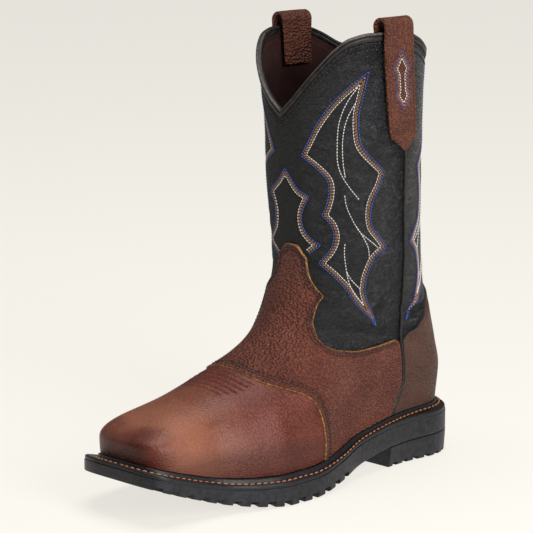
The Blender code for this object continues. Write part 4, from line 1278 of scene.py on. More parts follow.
def bug_relief(panel):
    """Ridges between the rows, fading at their ends."""
    ahead = panel["ahead"]
    half = np.interp(ahead, BUG_ROWS, BUG_HALF)
    pitch = BUG_ROWS[1] - BUG_ROWS[0]
    window = np.clip((half + 0.003 - np.abs(panel["across"])) / 0.006, 0, 1)
    window = window * window * (3 - 2 * window)
    reach = np.clip((ahead - BUG_ROWS[0] + pitch * 0.6) / pitch, 0, 1)
    reach = reach * np.clip((BUG_ROWS[-1] + pitch * 0.8 - ahead) / pitch, 0, 1)
    wave = np.abs(np.sin(np.pi * (ahead - BUG_ROWS[0]) / pitch)) ** 0.7
    return window * reach * (0.00075 * wave - 0.00035)


toe_offset = GAP + edge_round(toe["inside"], FOREPART_LEATHER) + bug_relief(toe)
toe_raw = toe["inside"] < 0.0002
toe_piece = close_panel("toe_vamp", toe, toe_offset, [toe_leather, brown_edge], toe_raw)
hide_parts("vamp_toe")

bug_bag = new_bag()
for row, half in zip(BUG_ROWS, BUG_HALF):
    keep = np.abs(toe["across"]) < half
    for points, ways in lines_on(toe, "ahead", row, toe_offset, keep):
        lay_stitches(bug_bag, points, ways, TOE_SEAM)
sew("toe_bug_stitches", bug_bag, brown_thread)

# %% [markdown]
# ## The saddle
# The saddle is a thick pebbled hide that covers the instep and rises to a tongue on the
# shin. Its cut edge is left raw and shows ochre. It laps over the toe's hide, so it stands a
# little higher along its front edge. Two rows of stitches follow each edge.

# %% The saddle's pattern
EDGE_STEPS = (0.0, 0.0003, 0.0006, 0.0011)  # lines in the mesh that round a cut edge
ROW_STEPS = (-0.0005, 0.0, 0.0005)  # and that sink a row of stitches
RAW_EDGE = 0.0004  # a cut edge shows its raw colour this far in
LAP = 0.0009  # extra height where the saddle lies on the toe's hide
seam_up = np.linspace(0, 1, 80)
seam_s = ease(SEAM_LINE, "along", seam_up, "up") * SOLE_LENGTH
seam_line = np.stack([seam_s, seam_up * SHAFT_HEIGHT], -1)
CORD_ROOM = PIPING_RADIUS + 0.0005  # from the seam to the edges beside the piping


def saddle_outline():
    """The pattern seen from the side: front edge, tongue, top edge and side seam."""
    front = smooth_rows(SADDLE_FRONT)
    seam = seam_line + (CORD_ROOM, 0)
    seam = seam[seam[:, 1] < SADDLE_TOP["up"][-1] * SHAFT_HEIGHT]
    top = smooth_rows(SADDLE_TOP)
    top = top[top[:, 0] > seam[-1, 0] + 0.004]
    tongue = np.array([(FAR, SADDLE_TOP["up"][0] * SHAFT_HEIGHT), (FAR, front[0, 1] + 0.004)])
    return np.vstack([front[::-1], tongue[::-1], top, seam[::-1]])


# %% Cut the saddle and sink its rows
top_line = smooth_rows(SADDLE_TOP)
saddle_pattern = saddle_outline()
fields = {
    "inside": along_skin(inside_of(FORM, saddle_pattern)),
    "front": distance_to(FORM, front_line),
    "top": along_skin(distance_to(FORM, top_line)),
}
FRONT_ROWS = in_rows((4.4, 6.2))
TOP_ROWS = in_rows((2.0, 3.6))
SADDLE_ROWS = (("front", FRONT_ROWS), ("top", TOP_ROWS))
saddle = cut_panel(fields, EDGE_STEPS)
for name, rows_there in SADDLE_ROWS:
    split_rows(saddle, name, rows_there, ROW_STEPS)
saddle_offset = GAP + edge_round(saddle["inside"], SADDLE_LEATHER)
saddle_offset += LAP * np.exp(-((saddle["front"] / 0.010) ** 2))
for name, rows_there in SADDLE_ROWS:
    saddle_offset += sunk_rows(saddle[name], rows_there, 0.0005, 0.0006)
saddle_raw = saddle["inside"] < RAW_EDGE
saddle_finishes = [saddle_leather, ochre_edge]
saddle_piece = close_panel("saddle_vamp", saddle, saddle_offset, saddle_finishes, saddle_raw)
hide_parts("vamp_saddle")

saddle_bag = new_bag()
clear = saddle["inside"] > 0.0015
for name, rows_there in SADDLE_ROWS:
    for row in rows_there:
        for points, ways in lines_on(saddle, name, row, saddle_offset, clear):
            lay_stitches(saddle_bag, points, ways, SADDLE_SEAM)
sew("saddle_stitches", saddle_bag, dark_thread)

# %% [markdown]
# ## The heel counter
# The counter wraps the heel behind the side seams. It is the same brown, but the hide is
# smoother and greyer. Two rows of stitches follow its top edge.

# %% Cut the counter
def counter_outline():
    """The pattern seen from the side: the seam, then the top edge back to the heel."""
    seam = seam_line - (CORD_ROOM, 0)
    seam = seam[seam[:, 1] < COUNTER_TOP["up"][0] * SHAFT_HEIGHT]
    top = smooth_rows(COUNTER_TOP)
    top = top[top[:, 0] < seam[-1, 0] - 0.002]
    return np.vstack([seam, top, [(top[-1, 0], 0.0)]])


counter_line = smooth_rows(COUNTER_TOP)
counter_pattern = counter_outline()
fields = {
    "inside": inside_of(FORM, counter_pattern),
    "top": distance_to(FORM, counter_line),
}
counter = cut_panel(fields, EDGE_STEPS)
split_rows(counter, "top", TOP_ROWS, ROW_STEPS)
counter_offset = GAP + edge_round(counter["inside"], COUNTER_LEATHER)
counter_offset += sunk_rows(counter["top"], TOP_ROWS, 0.0003, 0.0005)
counter_raw = counter["inside"] < RAW_EDGE
counter_finishes = [counter_leather, brown_edge]
counter_piece = close_panel("heel_counter", counter, counter_offset, counter_finishes, counter_raw)
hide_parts("counter")

counter_bag = new_bag()
clear = counter["inside"] > 0.0014
for row in TOP_ROWS:
    for points, ways in lines_on(counter, "top", row, counter_offset, clear):
        lay_stitches(counter_bag, points, ways, COUNTER_SEAM)
sew("counter_stitches", counter_bag, brown_thread)

# %% [markdown]
# ## The side seams' piping
# A thin leather cord covers each side seam, from the welt up to the pull strap's tip. It is a
# tube swept along the seam's line, set on the skin.

# %% Helper: points on the boot's side and round its shaft
def skin_at(s, z, side, offset):
    """Points of the wall's side at (s, z), moved out along their normals."""
    s = np.asarray(s, float)
    z = np.asarray(z, float)
    start = np.zeros(np.broadcast(s, z).shape)
    x = last_inside(lambda middle: boot_form(s, side * middle, z) < 0, start, start + SHAFT_WIDTH)
    points = np.stack([s + start, side * x, z + start], -1)
    normal = outward(points)
    return points + normal * np.asarray(offset)[..., None], normal


def shaft_at(turn, z):
    """Points on the shaft's skin at degrees round it and a height, with normals."""
    angle = np.radians(turn)

    def along_ray(out):
        s = TURN_CENTRE + out * TURN_ALONG * np.cos(angle)
        return s, out * TURN_ACROSS * np.sin(angle), z + out * 0

    near = np.full(np.broadcast(turn, z).shape, 0.05)
    out = last_inside(lambda middle: boot_form(*along_ray(middle)) < 0, near, near + 2.0)
    points = np.stack(along_ray(out), -1)
    normal = outward(points)
    return points + normal * relief_at(points)[..., None], normal


# %% Sweep the piping
def collar_at(s, side):
    """Height of the collar over a point of the wall's side."""
    centre = ease(LEVELS, "centre", 1.0) * SOLE_LENGTH
    spread = ease(LEVELS, "spread", 1.0) / SIDE_SPREAD
    across = SHAFT_WIDTH / 2
    return float(collar_height(side * np.arctan2(across * spread, s - centre)))


PIPING_SIDES = 14


def sweep(points, normals, radius):
    """Rings of a tube along points."""
    way = unit(np.gradient(points, axis=0))
    across = unit(np.cross(way, normals))
    up = np.cross(across, way)
    turn = np.linspace(0, 2 * np.pi, PIPING_SIDES, endpoint=False)[None, :, None]
    ring = np.cos(turn) * across[:, None] + np.sin(turn) * up[:, None]
    return points[:, None] + radius * ring


SEAM_TOP = float(ease(SEAM_LINE, "along", 1.0, "up")) * SOLE_LENGTH
PIPINGS = (("seam_piping_outer", 1, "piping_outer"), ("seam_piping_inner", -1, "piping_inner"))
for name, side, node in PIPINGS:
    top = collar_at(SEAM_TOP, side) + STRAP_LOOP - STRAP_OUTSIDE
    low = float(welt_top(SEAM_LINE["along"][0] * SOLE_LENGTH)) + RIB + 0.0008
    z = np.linspace(low, top, 220)
    s = ease(SEAM_LINE, "along", z / SHAFT_HEIGHT, "up") * SOLE_LENGTH
    points, normal = skin_at(s, z, side, np.full(len(z), PIPING_RADIUS * 0.75))
    points = points + normal * relief_at(points)[..., None]
    rings = sweep(to_world(points), to_world_way(normal), PIPING_RADIUS * 0.95)
    faces = ring_faces(len(rings), PIPING_SIDES)
    piece = make_piece(name, np.concatenate(rings), faces, [piping_leather], 60)
    face_out(piece)
    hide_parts(node)

# %% [markdown]
# ## The collar's binding
# A narrow strip is folded over the collar's edge: its fold shows as a pale bead. Below it two
# rows of long stitches hold the lining to the shaft, and they gather the leather between them.

# %% Helper: a point below the collar's edge
COLUMN_DROP = np.concatenate([
    np.zeros((1, FINE_COLUMNS)),
    np.cumsum(np.linalg.norm(np.diff(SKIN[::-1], axis=0), axis=2), axis=0),
])[::-1]


def below_rim(drop):
    """Points and normals on the skin at a distance down from the collar's edge."""
    points = []
    normals = []
    for j in range(FINE_COLUMNS):
        down = COLUMN_DROP[::-1, j]
        points.append([np.interp(drop, down, SKIN[::-1, j, i]) for i in range(3)])
        normals.append([np.interp(drop, down, FORM_NORMAL[::-1, j, i]) for i in range(3)])
    return np.array(points), np.array(normals)


# %% Fold the binding over the edge
# each row: how far below the edge, how far off the wall, in mm
BINDING_SIDE = (
    (4.2, 0.10), (4.2, 0.75), (3.9, 0.95), (2.2, 1.05), (1.5, 0.95), (1.1, 0.55), (0.8, 0.85), (0.2, 1.1),
)
BEAD_RISE = 0.0012  # the fold stands this high over the wall
BEAD_ROWS = 3  # rows of the fold that are pale


def binding_rings():
    """Each column's section: up the outside, over the edge and down the inside."""
    rim, rim_way = below_rim(0.0)
    flat = level_way(rim_way)
    stack = []
    for drop, out in BINDING_SIDE:
        at, way = below_rim(drop / 1000)
        stack.append(at + level_way(way) * out / 1000)
    half = UPPER_WALL / 2 + BINDING
    middle = rim - flat * UPPER_WALL / 2
    for turn in np.linspace(0, np.pi, 11):
        crown = np.array([0, 0, BEAD_RISE * math.sin(turn)])
        stack.append(middle + flat * half * math.cos(turn) + crown)
    for drop, out in BINDING_SIDE[::-1]:
        at, way = below_rim(drop / 1000)
        stack.append(at - level_way(way) * (UPPER_WALL + out / 1000))
    return np.stack(stack, 1)


rings = binding_rings()
around = rings.shape[1]
faces = ring_faces(len(rings), around, closed=True)
binding_points = to_world(rings.reshape(-1, 3))
binding = make_piece("collar_bead", binding_points, faces, [piping_leather, bead_leather], 50)
side_rows = len(BINDING_SIDE)
pale = [int(side_rows <= face[0] % around <= side_rows + BEAD_ROWS) for face in faces]
binding.data.polygons.foreach_set("material_index", pale)
face_out(binding)
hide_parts("collar_binding")

# %% Sew the two rows below the collar
collar_bag = new_bag()
for row in in_rows(COLLAR_STITCHES):
    points, normals = below_rim(row)
    points = np.vstack([points, points[:1]])
    normals = np.vstack([normals, normals[:1]])
    lay_stitches(collar_bag, to_world(points), to_world_way(normals), COLLAR_SEAM, 0.2)
sew("collar_stitches", collar_bag, dark_thread)

# %% [markdown]
# ## The stitched flames
# The shaft is decorated with flames in four lines of thread: blue outside, two copper lines,
# and white inside. Loose white veins run up the middle. Each outline is a short table of
# turns and heights with sharp cusps between smooth curves. The inner lines are found by moving
# the outline inwards and dropping the points that come too near to it again.

# %% Tables of the flames: degrees round the shaft, millimetres up, and corners
SIDE_FLAME = {
    "turn": (55, 44, 33, 22.5, 17.5, 10.5, 22, 30, 31, 29, 26, 32, 34, 31, 23, 33, 42, 50, 66,
             61, 56, 54.5, 56.5, 61.5, 70.5, 65, 59, 57.5, 59, 63, 66, 59.5, 53, 50, 49.5, 52),
    "up": (279, 269, 257, 242, 233, 221, 214, 206, 197, 188, 182, 175.5, 167, 158, 149, 141,
           131, 118.5, 102, 112, 122, 133, 142, 151, 158, 165, 173, 182, 192, 201, 211, 218,
           226, 234, 249, 263),
    "corner": (1, 0, 0, 0, 0, 1, 0, 0, 0, 0, 1, 0, 0, 0, 1, 0, 0, 0, 1,
               0, 0, 0, 0, 0, 1, 0, 0, 0, 0, 0, 1, 0, 0, 0, 0, 0),
}
FRONT_FLAME = {
    "turn": (-6, 0, 7, 17, 12.5, 10, 12, 18, 25, 13,
             -4, -21, -33, -26, -20, -18, -20.5, -25, -15, -10),
    "up": (211, 205, 198, 194, 187, 179, 171, 165, 161.5, 153,
           142, 153, 160, 165, 171, 179, 187, 194, 201, 206),
    "corner": (1, 0, 0, 1, 0, 0, 0, 0, 1, 0, 1, 0, 1, 0, 0, 0, 0, 1, 0, 0),
}
VEINS = (
    {"turn": (49, 42, 37.5, 36.5, 37, 39.5, 44, 50), "up": (269, 257, 243, 226, 217, 209, 201, 192.5)},
    {"turn": (48, 42.5, 40, 40, 41.5), "up": (259, 247, 234, 220, 207)},
    {"turn": (41, 42, 45, 50, 56, 64), "up": (196, 188.5, 180.5, 171, 165, 158)},
    {"turn": (47.5, 53, 56.5, 58), "up": (175.5, 166, 158, 150)},
    {"turn": (41, 40.5, 41.5, 43.5, 48.5, 54), "up": (163, 156, 146, 136, 126, 119)},
    {"turn": (41.5, 45.5, 52), "up": (144, 137, 130)},
)
FLAME_LINES = (("blue", 0.0), ("copper", 1.2), ("copper", 2.0), ("white", 3.0))  # mm inwards
FRONT_AXIS = -4.0  # the front flame's own middle, in degrees
SEAM_AXIS = 83.0  # the flame behind the side seam mirrors the one before it about this turn
# each flame is drawn at sign * turn + shift
SIDE_PLACES = (
    (1, 0), (-1, 2 * FRONT_AXIS), (-1, 2 * SEAM_AXIS), (1, 2 * FRONT_AXIS - 2 * SEAM_AXIS),
)
FRONT_PLACES = ((1, 0), (1, 180))

# %% Helpers: curves through a table, and lines inside them
def smooth_run(table, fine=14):
    """Curves through a table's turns and heights. Corners make it a closed loop."""
    turn_up = np.stack([table["turn"], table["up"]], -1).astype(float)
    count = len(turn_up)
    marks = np.flatnonzero(table.get("corner", ())).tolist()
    pairs = list(zip(marks, marks[1:] + [marks[0] + count])) if marks else [(0, count - 1)]
    runs = []
    for a, b in pairs:
        index = np.arange(a, b + 1) % count
        walk = np.linspace(0, b - a, fine * (b - a) + 1)
        curve = [bend_through(turn_up[index, k], walk) for k in range(2)]
        runs.append(np.stack(curve, -1)[: -1 if marks else None])
    return np.vstack(runs)


def bend_through(values, walk):
    """A Catmull-Rom curve through values at whole numbers."""
    padded = np.concatenate([[2 * values[0] - values[1]], values, [2 * values[-1] - values[-2]]])
    i = np.clip(walk.astype(int), 0, len(values) - 2)
    t = walk - i
    p0, p1, p2, p3 = (padded[i + k] for k in range(4))
    square = 2 * p0 - 5 * p1 + 4 * p2 - p3
    cube = 3 * p1 - p0 - 3 * p2 + p3
    return 0.5 * (2 * p1 + (p2 - p0) * t + square * t**2 + cube * t**3)


def even_loop(points, step=0.5):
    """A closed line's points at an even distance, in mm."""
    closed = np.vstack([points, points[:1]])
    steps = np.linalg.norm(np.diff(closed, axis=0), axis=1)
    walked = np.concatenate([[0], np.cumsum(steps)])
    at = np.linspace(0, walked[-1], max(int(walked[-1] / step), 8), endpoint=False)
    return np.stack([np.interp(at, walked, closed[:, i]) for i in range(2)], -1)


def move_inward(loop, distance):
    """The loop moved inwards, without the parts that fold over at the cusps."""
    if distance == 0:
        return loop
    ahead = np.roll(loop, -1, axis=0) - np.roll(loop, 1, axis=0)
    ahead = unit(ahead)
    after = np.roll(loop, -1, axis=0)
    area = np.sum(loop[:, 0] * after[:, 1] - loop[:, 1] * after[:, 0])
    side = np.stack([-ahead[:, 1], ahead[:, 0]], -1) * (1 if area > 0 else -1)
    moved = loop + side * distance
    gap = np.linalg.norm(moved[:, None] - loop[None], axis=2).min(1)
    return moved[gap > distance * 0.97]


# %% Embroider the flames
THREADS = {"blue": blue_thread, "copper": copper_thread, "white": white_thread}
flame_bags = {colour: new_bag() for colour in THREADS}


def embroider(colour, flat, closed=True):
    """Stitches along a (mm round, mm up) line of the shaft, outside the saddle."""
    if closed:
        flat = np.vstack([flat, flat[:1]])
    points, normal = shaft_at(flat[:, 0] / MM_PER_DEGREE, flat[:, 1] / 1000)
    under_saddle = inside_of(points, saddle_pattern) > -0.0006
    hidden = under_saddle | (inside_of(points, counter_pattern) > -0.0006)
    points = to_world(points)
    ways = to_world_way(normal)
    start = 0
    for i in range(len(flat) + 1):
        if i == len(flat) or hidden[i]:
            if i - start > 3:
                part = slice(start, i)
                lay_stitches(flame_bags[colour], points[part], ways[part], FLAME_SEAMS[colour], 0.4)
            start = i + 1


def placed(table, sign, shift):
    """A table's curve as (mm round, mm up), mirrored and turned to its place."""
    line = smooth_run(table)
    turn = sign * line[:, 0] + shift
    return np.stack([turn * MM_PER_DEGREE, line[:, 1]], -1)


def flame(table, sign, shift):
    loop = even_loop(placed(table, sign, shift))
    for colour, inward in FLAME_LINES:
        embroider(colour, move_inward(loop, inward))


for sign, shift in SIDE_PLACES:
    flame(SIDE_FLAME, sign, shift)
    for vein in VEINS:
        embroider("white", placed(vein, sign, shift), closed=False)
for sign, shift in FRONT_PLACES:
    flame(FRONT_FLAME, sign, shift)
for colour, finish in THREADS.items():
    sew("flame_" + colour, flame_bags[colour], finish)

# %% [markdown]
# ## The pull straps
# Each strap is a doubled band of pebbled leather folded over the collar. Outside it runs down
# the side seam to a pointed tip. It is lofted through sections with rounded edges, and a
# stitched lozenge in the flames' colours decorates it.

# %% Where a strap's points lie
STRAP_STATIONS = {
    "along": (0.0, 0.04, 0.08, 0.115, 0.15, 1.0),
    "width": (0.10, 0.36, 0.62, 0.86, 1.0, 1.0),
}
STAND = GAP + FIT + BINDING + STRAP_EASE
STRAP_SLIDE = 0.0046  # at the top: outer strap ahead of the seam, inner strap behind it
STRAP_LEAVES = 0.010  # the loop leaves the wall this far below the collar
EDGE_SEAM = 0.0023  # from a strap's edge to its seam


def strap_width(step):
    """Width from the tip, at 0, to where the loop starts, at 1."""
    return STRAP_WIDTH * ease(STRAP_STATIONS, "width", step)


def strap_place(kind, where, across, lift, side, rim):
    """Points of a strap: lift is the height off its under face."""
    across = np.asarray(across, float)
    lift = np.asarray(lift, float)
    if kind == "over":
        s = SEAM_TOP + across + STRAP_SLIDE * side
        wall, _ = skin_at(s, np.full(len(s), rim - 0.004), side, np.zeros(len(s)))
        reach = STAND + FIT + UPPER_WALL / 2
        middle = rim + STRAP_LOOP - reach
        x = np.abs(wall[:, 1]) - UPPER_WALL / 2 + (reach + lift) * math.cos(where)
        return np.stack([s, side * x, middle + (reach + lift) * math.sin(where)], -1)
    where = np.broadcast_to(np.asarray(where, float), across.shape)
    s = ease(SEAM_LINE, "along", where / SHAFT_HEIGHT, "up") * SOLE_LENGTH + across
    low = rim + STRAP_LOOP - STRAP_OUTSIDE
    step = np.clip((where - low) / (rim - STRAP_LEAVES - low), 0, 1)
    s = s + STRAP_SLIDE * side * (0.3 + 0.7 * step)
    gap = GAP + FIT + (STAND - GAP) * step**1.6
    offset = gap + lift if kind == "out" else -UPPER_WALL - STAND - lift
    points, _ = skin_at(s, where, side, offset)
    return points


# %% Sections and seams of a strap
def strap_section(width):
    """Across and lift of a section: a flat band with rounded edges and sunk seams."""
    share = np.sin(np.linspace(-np.pi / 2, np.pi / 2, 27)) / 2
    inward = (0.5 - np.abs(share)) * width
    round_off = np.clip(inward / 0.0011, 0, 1)
    top = STRAP_LEATHER * (0.5 + 0.5 * np.sqrt(1 - (1 - round_off) ** 2))
    top = top - 0.00035 * np.exp(-(((inward - EDGE_SEAM) / 0.0006) ** 2))
    low = STRAP_LEATHER * (0.5 - 0.5 * np.sqrt(1 - (1 - round_off) ** 2))
    across = share * width
    return np.concatenate([across, across[::-1]]), np.concatenate([top, low[::-1]])


strap_bag = new_bag()
motif_bags = {colour: new_bag() for colour in THREADS}
MOTIF_LINES = (("blue", 0.0), ("copper", 1.3), ("white", 2.7))  # mm inwards
MOTIF_HALF = (0, 7.4, 5.0, 4.8, 6.8, 0)  # mm either side of the strap's middle
MOTIF_UP = (0, -12.8, -16.6, -27.0, -31.0, -40.5)  # mm below its top point
MOTIF_TOP = 0.2925  # its top point above the floor


def strap_line(across, heights, side, rim, off=0.00005):
    """World points and outward ways on the strap's outside face."""
    across = np.asarray(across, float)
    lift = np.full(across.shape, STRAP_LEATHER)
    points = strap_place("out", heights, across, lift + off, side, rim)
    ways = strap_place("out", heights, across, lift + 0.002, side, rim) - points
    return to_world(points), to_world_way(unit(ways))


def sew_strap(low, high, side, rim):
    """Seams along both edges, and rows across the tip."""
    for edge in (-1, 1):
        steps = np.linspace(0.06, 0.985, 70)
        reach = strap_width(steps) / 2 - EDGE_SEAM
        heights = low + (high - low) * steps
        points, ways = strap_line(edge * reach, heights, side, rim, -0.0003)
        lay_stitches(strap_bag, points, ways, STRAP_SEAM)
    for z in low + (high - low) * np.array([0.175, 0.205, 0.235, 0.265]):
        across = np.linspace(-0.0100, 0.0100, 12)
        points, ways = strap_line(across, np.full(12, z), side, rim)
        lay_stitches(strap_bag, points, ways, TIP_SEAM)


def sew_lozenge(side, rim):
    """The stitched lozenge on the outside of a strap."""
    half = np.array([MOTIF_HALF, MOTIF_UP]).T
    loop = even_loop(np.vstack([half, (half * (-1, 1))[-2:0:-1]]), 0.4)
    for colour, inward in MOTIF_LINES:
        line = move_inward(loop, inward)
        line = np.vstack([line, line[:1]]) / 1000
        points, ways = strap_line(line[:, 0], MOTIF_TOP + line[:, 1], side, rim)
        lay_stitches(motif_bags[colour], points, ways, LOZENGE_SEAM, 0.4)


# %% Fold both straps over the collar
def make_strap(name, node, side):
    """A strap from its outside tip, over the collar, to its inside end."""
    rim = collar_at(SEAM_TOP, side)
    low = rim + STRAP_LOOP - STRAP_OUTSIDE
    high = rim - STRAP_LEAVES
    rings = []
    for step in np.linspace(0, 1, 72) ** 1.15:
        across, lift = strap_section(float(strap_width(step)))
        rings.append(strap_place("out", low + (high - low) * step, across, lift, side, rim))
    across, lift = strap_section(STRAP_WIDTH)
    for turn in np.linspace(0, np.pi, 33):
        rings.append(strap_place("over", turn, across, lift, side, rim))
    for z in np.linspace(high, rim + STRAP_LOOP - STRAP_INSIDE, 24):
        rings.append(strap_place("in", float(z), across, lift, side, rim))
    points = to_world(np.concatenate(rings))
    piece = make_piece(name, points, ring_faces(len(rings), len(across)), [strap_leather], 60)
    face_out(piece)
    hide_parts(node)
    sew_strap(low, high, side, rim)
    sew_lozenge(side, rim)


make_strap("pull_strap_out", "pull_strap_outer", 1)
make_strap("pull_strap_in", "pull_strap_inner", -1)
sew("strap_stitches", strap_bag, brown_thread)
for colour, finish in THREADS.items():
    sew("lozenge_" + colour, motif_bags[colour], finish)

# %% [markdown]
# ## The storm welt
# The welt is a strip that runs all round the boot, with a raised rib against the leather to
# keep water out. The sole is sewn through its ledge with thick orange thread. It is lofted
# from one section per column, with a groove beside the rib and a sunk line for the stitches.

# %% Helper: the sole's outline seen from the welt's middle
RAY_SQUASH = SIDE_SPREAD / LEVELS["spread"][0]


def ray_outline(angle, inset):
    """Where a ray from the welt's middle meets the sole's outline."""
    centre = 0.5 * SOLE_LENGTH
    back = 0.0005
    front = SOLE_LENGTH - 0.0007

    def along_ray(out):
        return centre + out * np.cos(angle), out * np.sin(angle) * RAY_SQUASH

    def on_sole(out):
        s, x = along_ray(out)
        outer, inner = half_widths(np.clip(s, back, front))
        return (s > back) & (s < front) & (x < outer) & (x > -inner)

    start = np.zeros_like(angle)
    s, x = along_ray(last_inside(on_sole, start, start + SOLE_LENGTH))
    length = np.hypot(s - centre, x)
    keep = 1 - inset / np.maximum(length, 0.02)
    return np.stack([centre + (s - centre) * keep, x * keep], -1)


# %% The welt's inner and outer lines
STITCH_FROM_RIB = 0.0024
low_rim = on_skin(ANGLES, 0.0, rim_height)
low_way = level_way(outward(low_rim))
welt_in = (low_rim + low_way * (GAP + FIT))[:, :2]
welt_out = ray_outline(ANGLES, 0.0006)
rib_in = (FORM[0] + FORM_NORMAL[0] * (GAP + FIT))[:, :2]
reach = np.linalg.norm(welt_out - welt_in, axis=1)
across = (welt_out - welt_in) / reach[:, None]
rib_start = np.maximum(0, np.sum((rib_in - welt_in) * across, axis=1))


def welt_at(distance, height, rise=0.0):
    """A point of every column: distance from the inside, share of height, extra rise."""
    distance = np.broadcast_to(distance, reach.shape)
    at = welt_in + across * distance[:, None]
    share = distance / reach
    low = midsole_top(welt_in[:, 0]) * (1 - share) + midsole_top(welt_out[:, 0]) * share
    high = welt_top(welt_in[:, 0]) * (1 - share) + welt_top(welt_out[:, 0]) * share
    return np.stack([at[:, 0], at[:, 1], low + (high - low) * height + rise], -1)


# %% Loft the welt and sew it
rib_end = rib_start + RIB_WIDTH
stitch_at = rib_end + STITCH_FROM_RIB
# each row: distance from the inside, share of the height, extra rise
WELT_SECTION = (
    (0.0, 0.0, 0.0),
    (reach, 0.0, 0.0),
    (reach + 0.0002, 0.35, 0.0),
    (reach + 0.0001, 0.72, 0.0),
    (reach - 0.0003, 0.90, 0.0),
    (reach - 0.0009, 1.0, 0.0),
    (reach - 0.0017, 1.0, 0.00012),
    (stitch_at + 0.0013, 1.0, 0.0),
    (stitch_at + 0.0006, 1.0, -0.00035),
    (stitch_at, 1.0, -0.0006),
    (stitch_at - 0.0006, 1.0, -0.00035),
    (stitch_at - 0.0012, 1.0, 0.0),
    (rib_end + 0.0009, 1.0, 0.0),
    (rib_end + 0.0004, 1.0, -0.0006),
    (rib_end, 1.0, 0.0),
    (rib_end - 0.0003, 1.0, RIB * 0.55),
    (rib_end - 0.0008, 1.0, RIB * 0.88),
    (rib_end - 0.0016, 1.0, RIB),
    (rib_start + 0.0009, 1.0, RIB * 0.98),
    (rib_start + 0.0002, 1.0, RIB * 0.8),
    (rib_start * 0.6, 1.0, 0.0),
)
rings = np.stack([welt_at(*row) for row in WELT_SECTION], 1)
faces = ring_faces(len(rings), rings.shape[1], closed=True)
welt = make_piece("storm_welt", to_world(rings.reshape(-1, 3)), faces, [welt_rubber], 50)
face_out(welt)
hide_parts("welt")

welt_bag = new_bag()
line = welt_at(stitch_at, 1.0, -0.0004)
line = np.vstack([line, line[:1]])
up = np.tile([0.0, 0.0, 1.0], (len(line), 1))
lay_stitches(welt_bag, to_world(line), up, WELT_SEAM, 0.5)
sew("welt_stitches", welt_bag, orange_thread)

# %% [markdown]
# ## The rubber sole
# Midsole, outsole and heel block are lofted along the boot from the sole's outline. Then
# small boxes cut the tread's notches and grooves out of them, and the cuts are
# applied, so that the pieces are plain meshes.

# %% Helpers: a plate of the sole's outline
TIP = 0.0005  # the outline is closed this far from its very ends


def stations(first, last, count):
    """Distances from the heel's back, closer together at both ends."""
    turn = np.linspace(0, np.pi, count)
    return first + (last - first) * (1 - np.cos(turn)) / 2


def sole_rings(low, high, side, last=None, count=200):
    """Sections of a plate of the sole's outline between two heights."""
    last = SOLE_LENGTH - TIP if last is None else last
    rings = []
    for s in stations(TIP, last, count):
        outer, inner = half_widths(s)
        bottom = low(s)
        top = high(s)
        ring = [(s, outer - inset, bottom + (top - bottom) * share) for inset, share in side]
        ring += [(s, -inner + inset, bottom + (top - bottom) * share) for inset, share in side[::-1]]
        rings.append(to_world(ring))
    return rings


def make_plate(name, rings, finish):
    """A closed plate lofted through its sections."""
    faces = ring_faces(len(rings), len(rings[0]))
    piece = make_piece(name, np.concatenate(rings), faces, [finish], 40)
    face_out(piece)
    return piece


# %% Helpers: boxes that cut the tread
BEYOND = 0.006  # a cutter runs on past the face that it opens


def edge_walk(first, last, side):
    """Points and directions at even steps along the sole's edge."""
    s = stations(TIP, SOLE_LENGTH - TIP, 400)
    outer, inner = half_widths(s)
    x = outer if side > 0 else -inner
    length = np.concatenate([[0], np.cumsum(np.hypot(np.diff(s), np.diff(x)))])
    start = np.interp(first, s, length)
    end = np.interp(last, s, length)
    return s, x, length, start, end


def edge_notches(first, last, side, pitch, size, base, thins=True):
    """Boxes that cut the tread's edge, square to it. Size is a notch's width, height, depth."""
    width, height, depth = size
    s, x, length, start, end = edge_walk(first, last, side)
    count = int((end - start) / pitch) + 1
    places = []
    for i in range(count):
        here = start + i * pitch
        si = np.interp(here, length, s)
        xi = np.interp(here, length, x)
        ds = np.interp(here + 0.001, length, s) - np.interp(here - 0.001, length, s)
        dx = np.interp(here + 0.001, length, x) - np.interp(here - 0.001, length, x)
        step = math.hypot(ds, dx)
        # inward across the edge, in the object's frame
        inward = np.array([-ds / step, -dx / step]) * (1 if side > 0 else -1)
        middle = np.array([xi, HEEL_LENGTH / 2 - si]) + inward * (depth - BEYOND) / 2
        turn = math.atan2(-ds, dx)
        tall = height * (float(ease(LAYERS, "outsole", si / SOLE_LENGTH)) if thins else 1.0)
        z = float(base(si)) + (tall - BEYOND) / 2
        box = (width, depth + BEYOND, tall + BEYOND)
        places.append(((middle[0], middle[1], z), box, turn, 0.0))
    return places


def cut_boxes(piece, places):
    """Cut boxes at (centre, size, turn about Z, tilt about X) out of a piece, for good."""
    work = bmesh.new()
    for centre, size, turn, tilt in places:
        made = bmesh.ops.create_cube(work, size=1.0)["verts"]
        bmesh.ops.scale(work, vec=size, verts=made)
        for angle, axis in ((tilt, "X"), (turn, "Z")):
            twist = Matrix.Rotation(angle, 3, axis)
            bmesh.ops.rotate(work, cent=(0, 0, 0), matrix=twist, verts=made)
        bmesh.ops.translate(work, vec=centre, verts=made)
    mesh = bpy.data.meshes.new("cutter")
    work.to_mesh(mesh)
    work.free()
    block = bpy.data.objects.new("cutter", mesh)
    bpy.context.scene.collection.objects.link(block)
    change = piece.modifiers.new("notches", "BOOLEAN")
    change.object = block
    change.solver = "EXACT"
    change.use_self = True
    shown = piece.evaluated_get(bpy.context.evaluated_depsgraph_get())
    done = bpy.data.meshes.new_from_object(shown)
    piece.modifiers.clear()
    piece.data = done
    done.set_sharp_from_angle(angle=math.radians(40))
    bpy.data.objects.remove(block, do_unlink=True)
    print(piece.name, "after its cuts:", len(done.polygons), "faces")


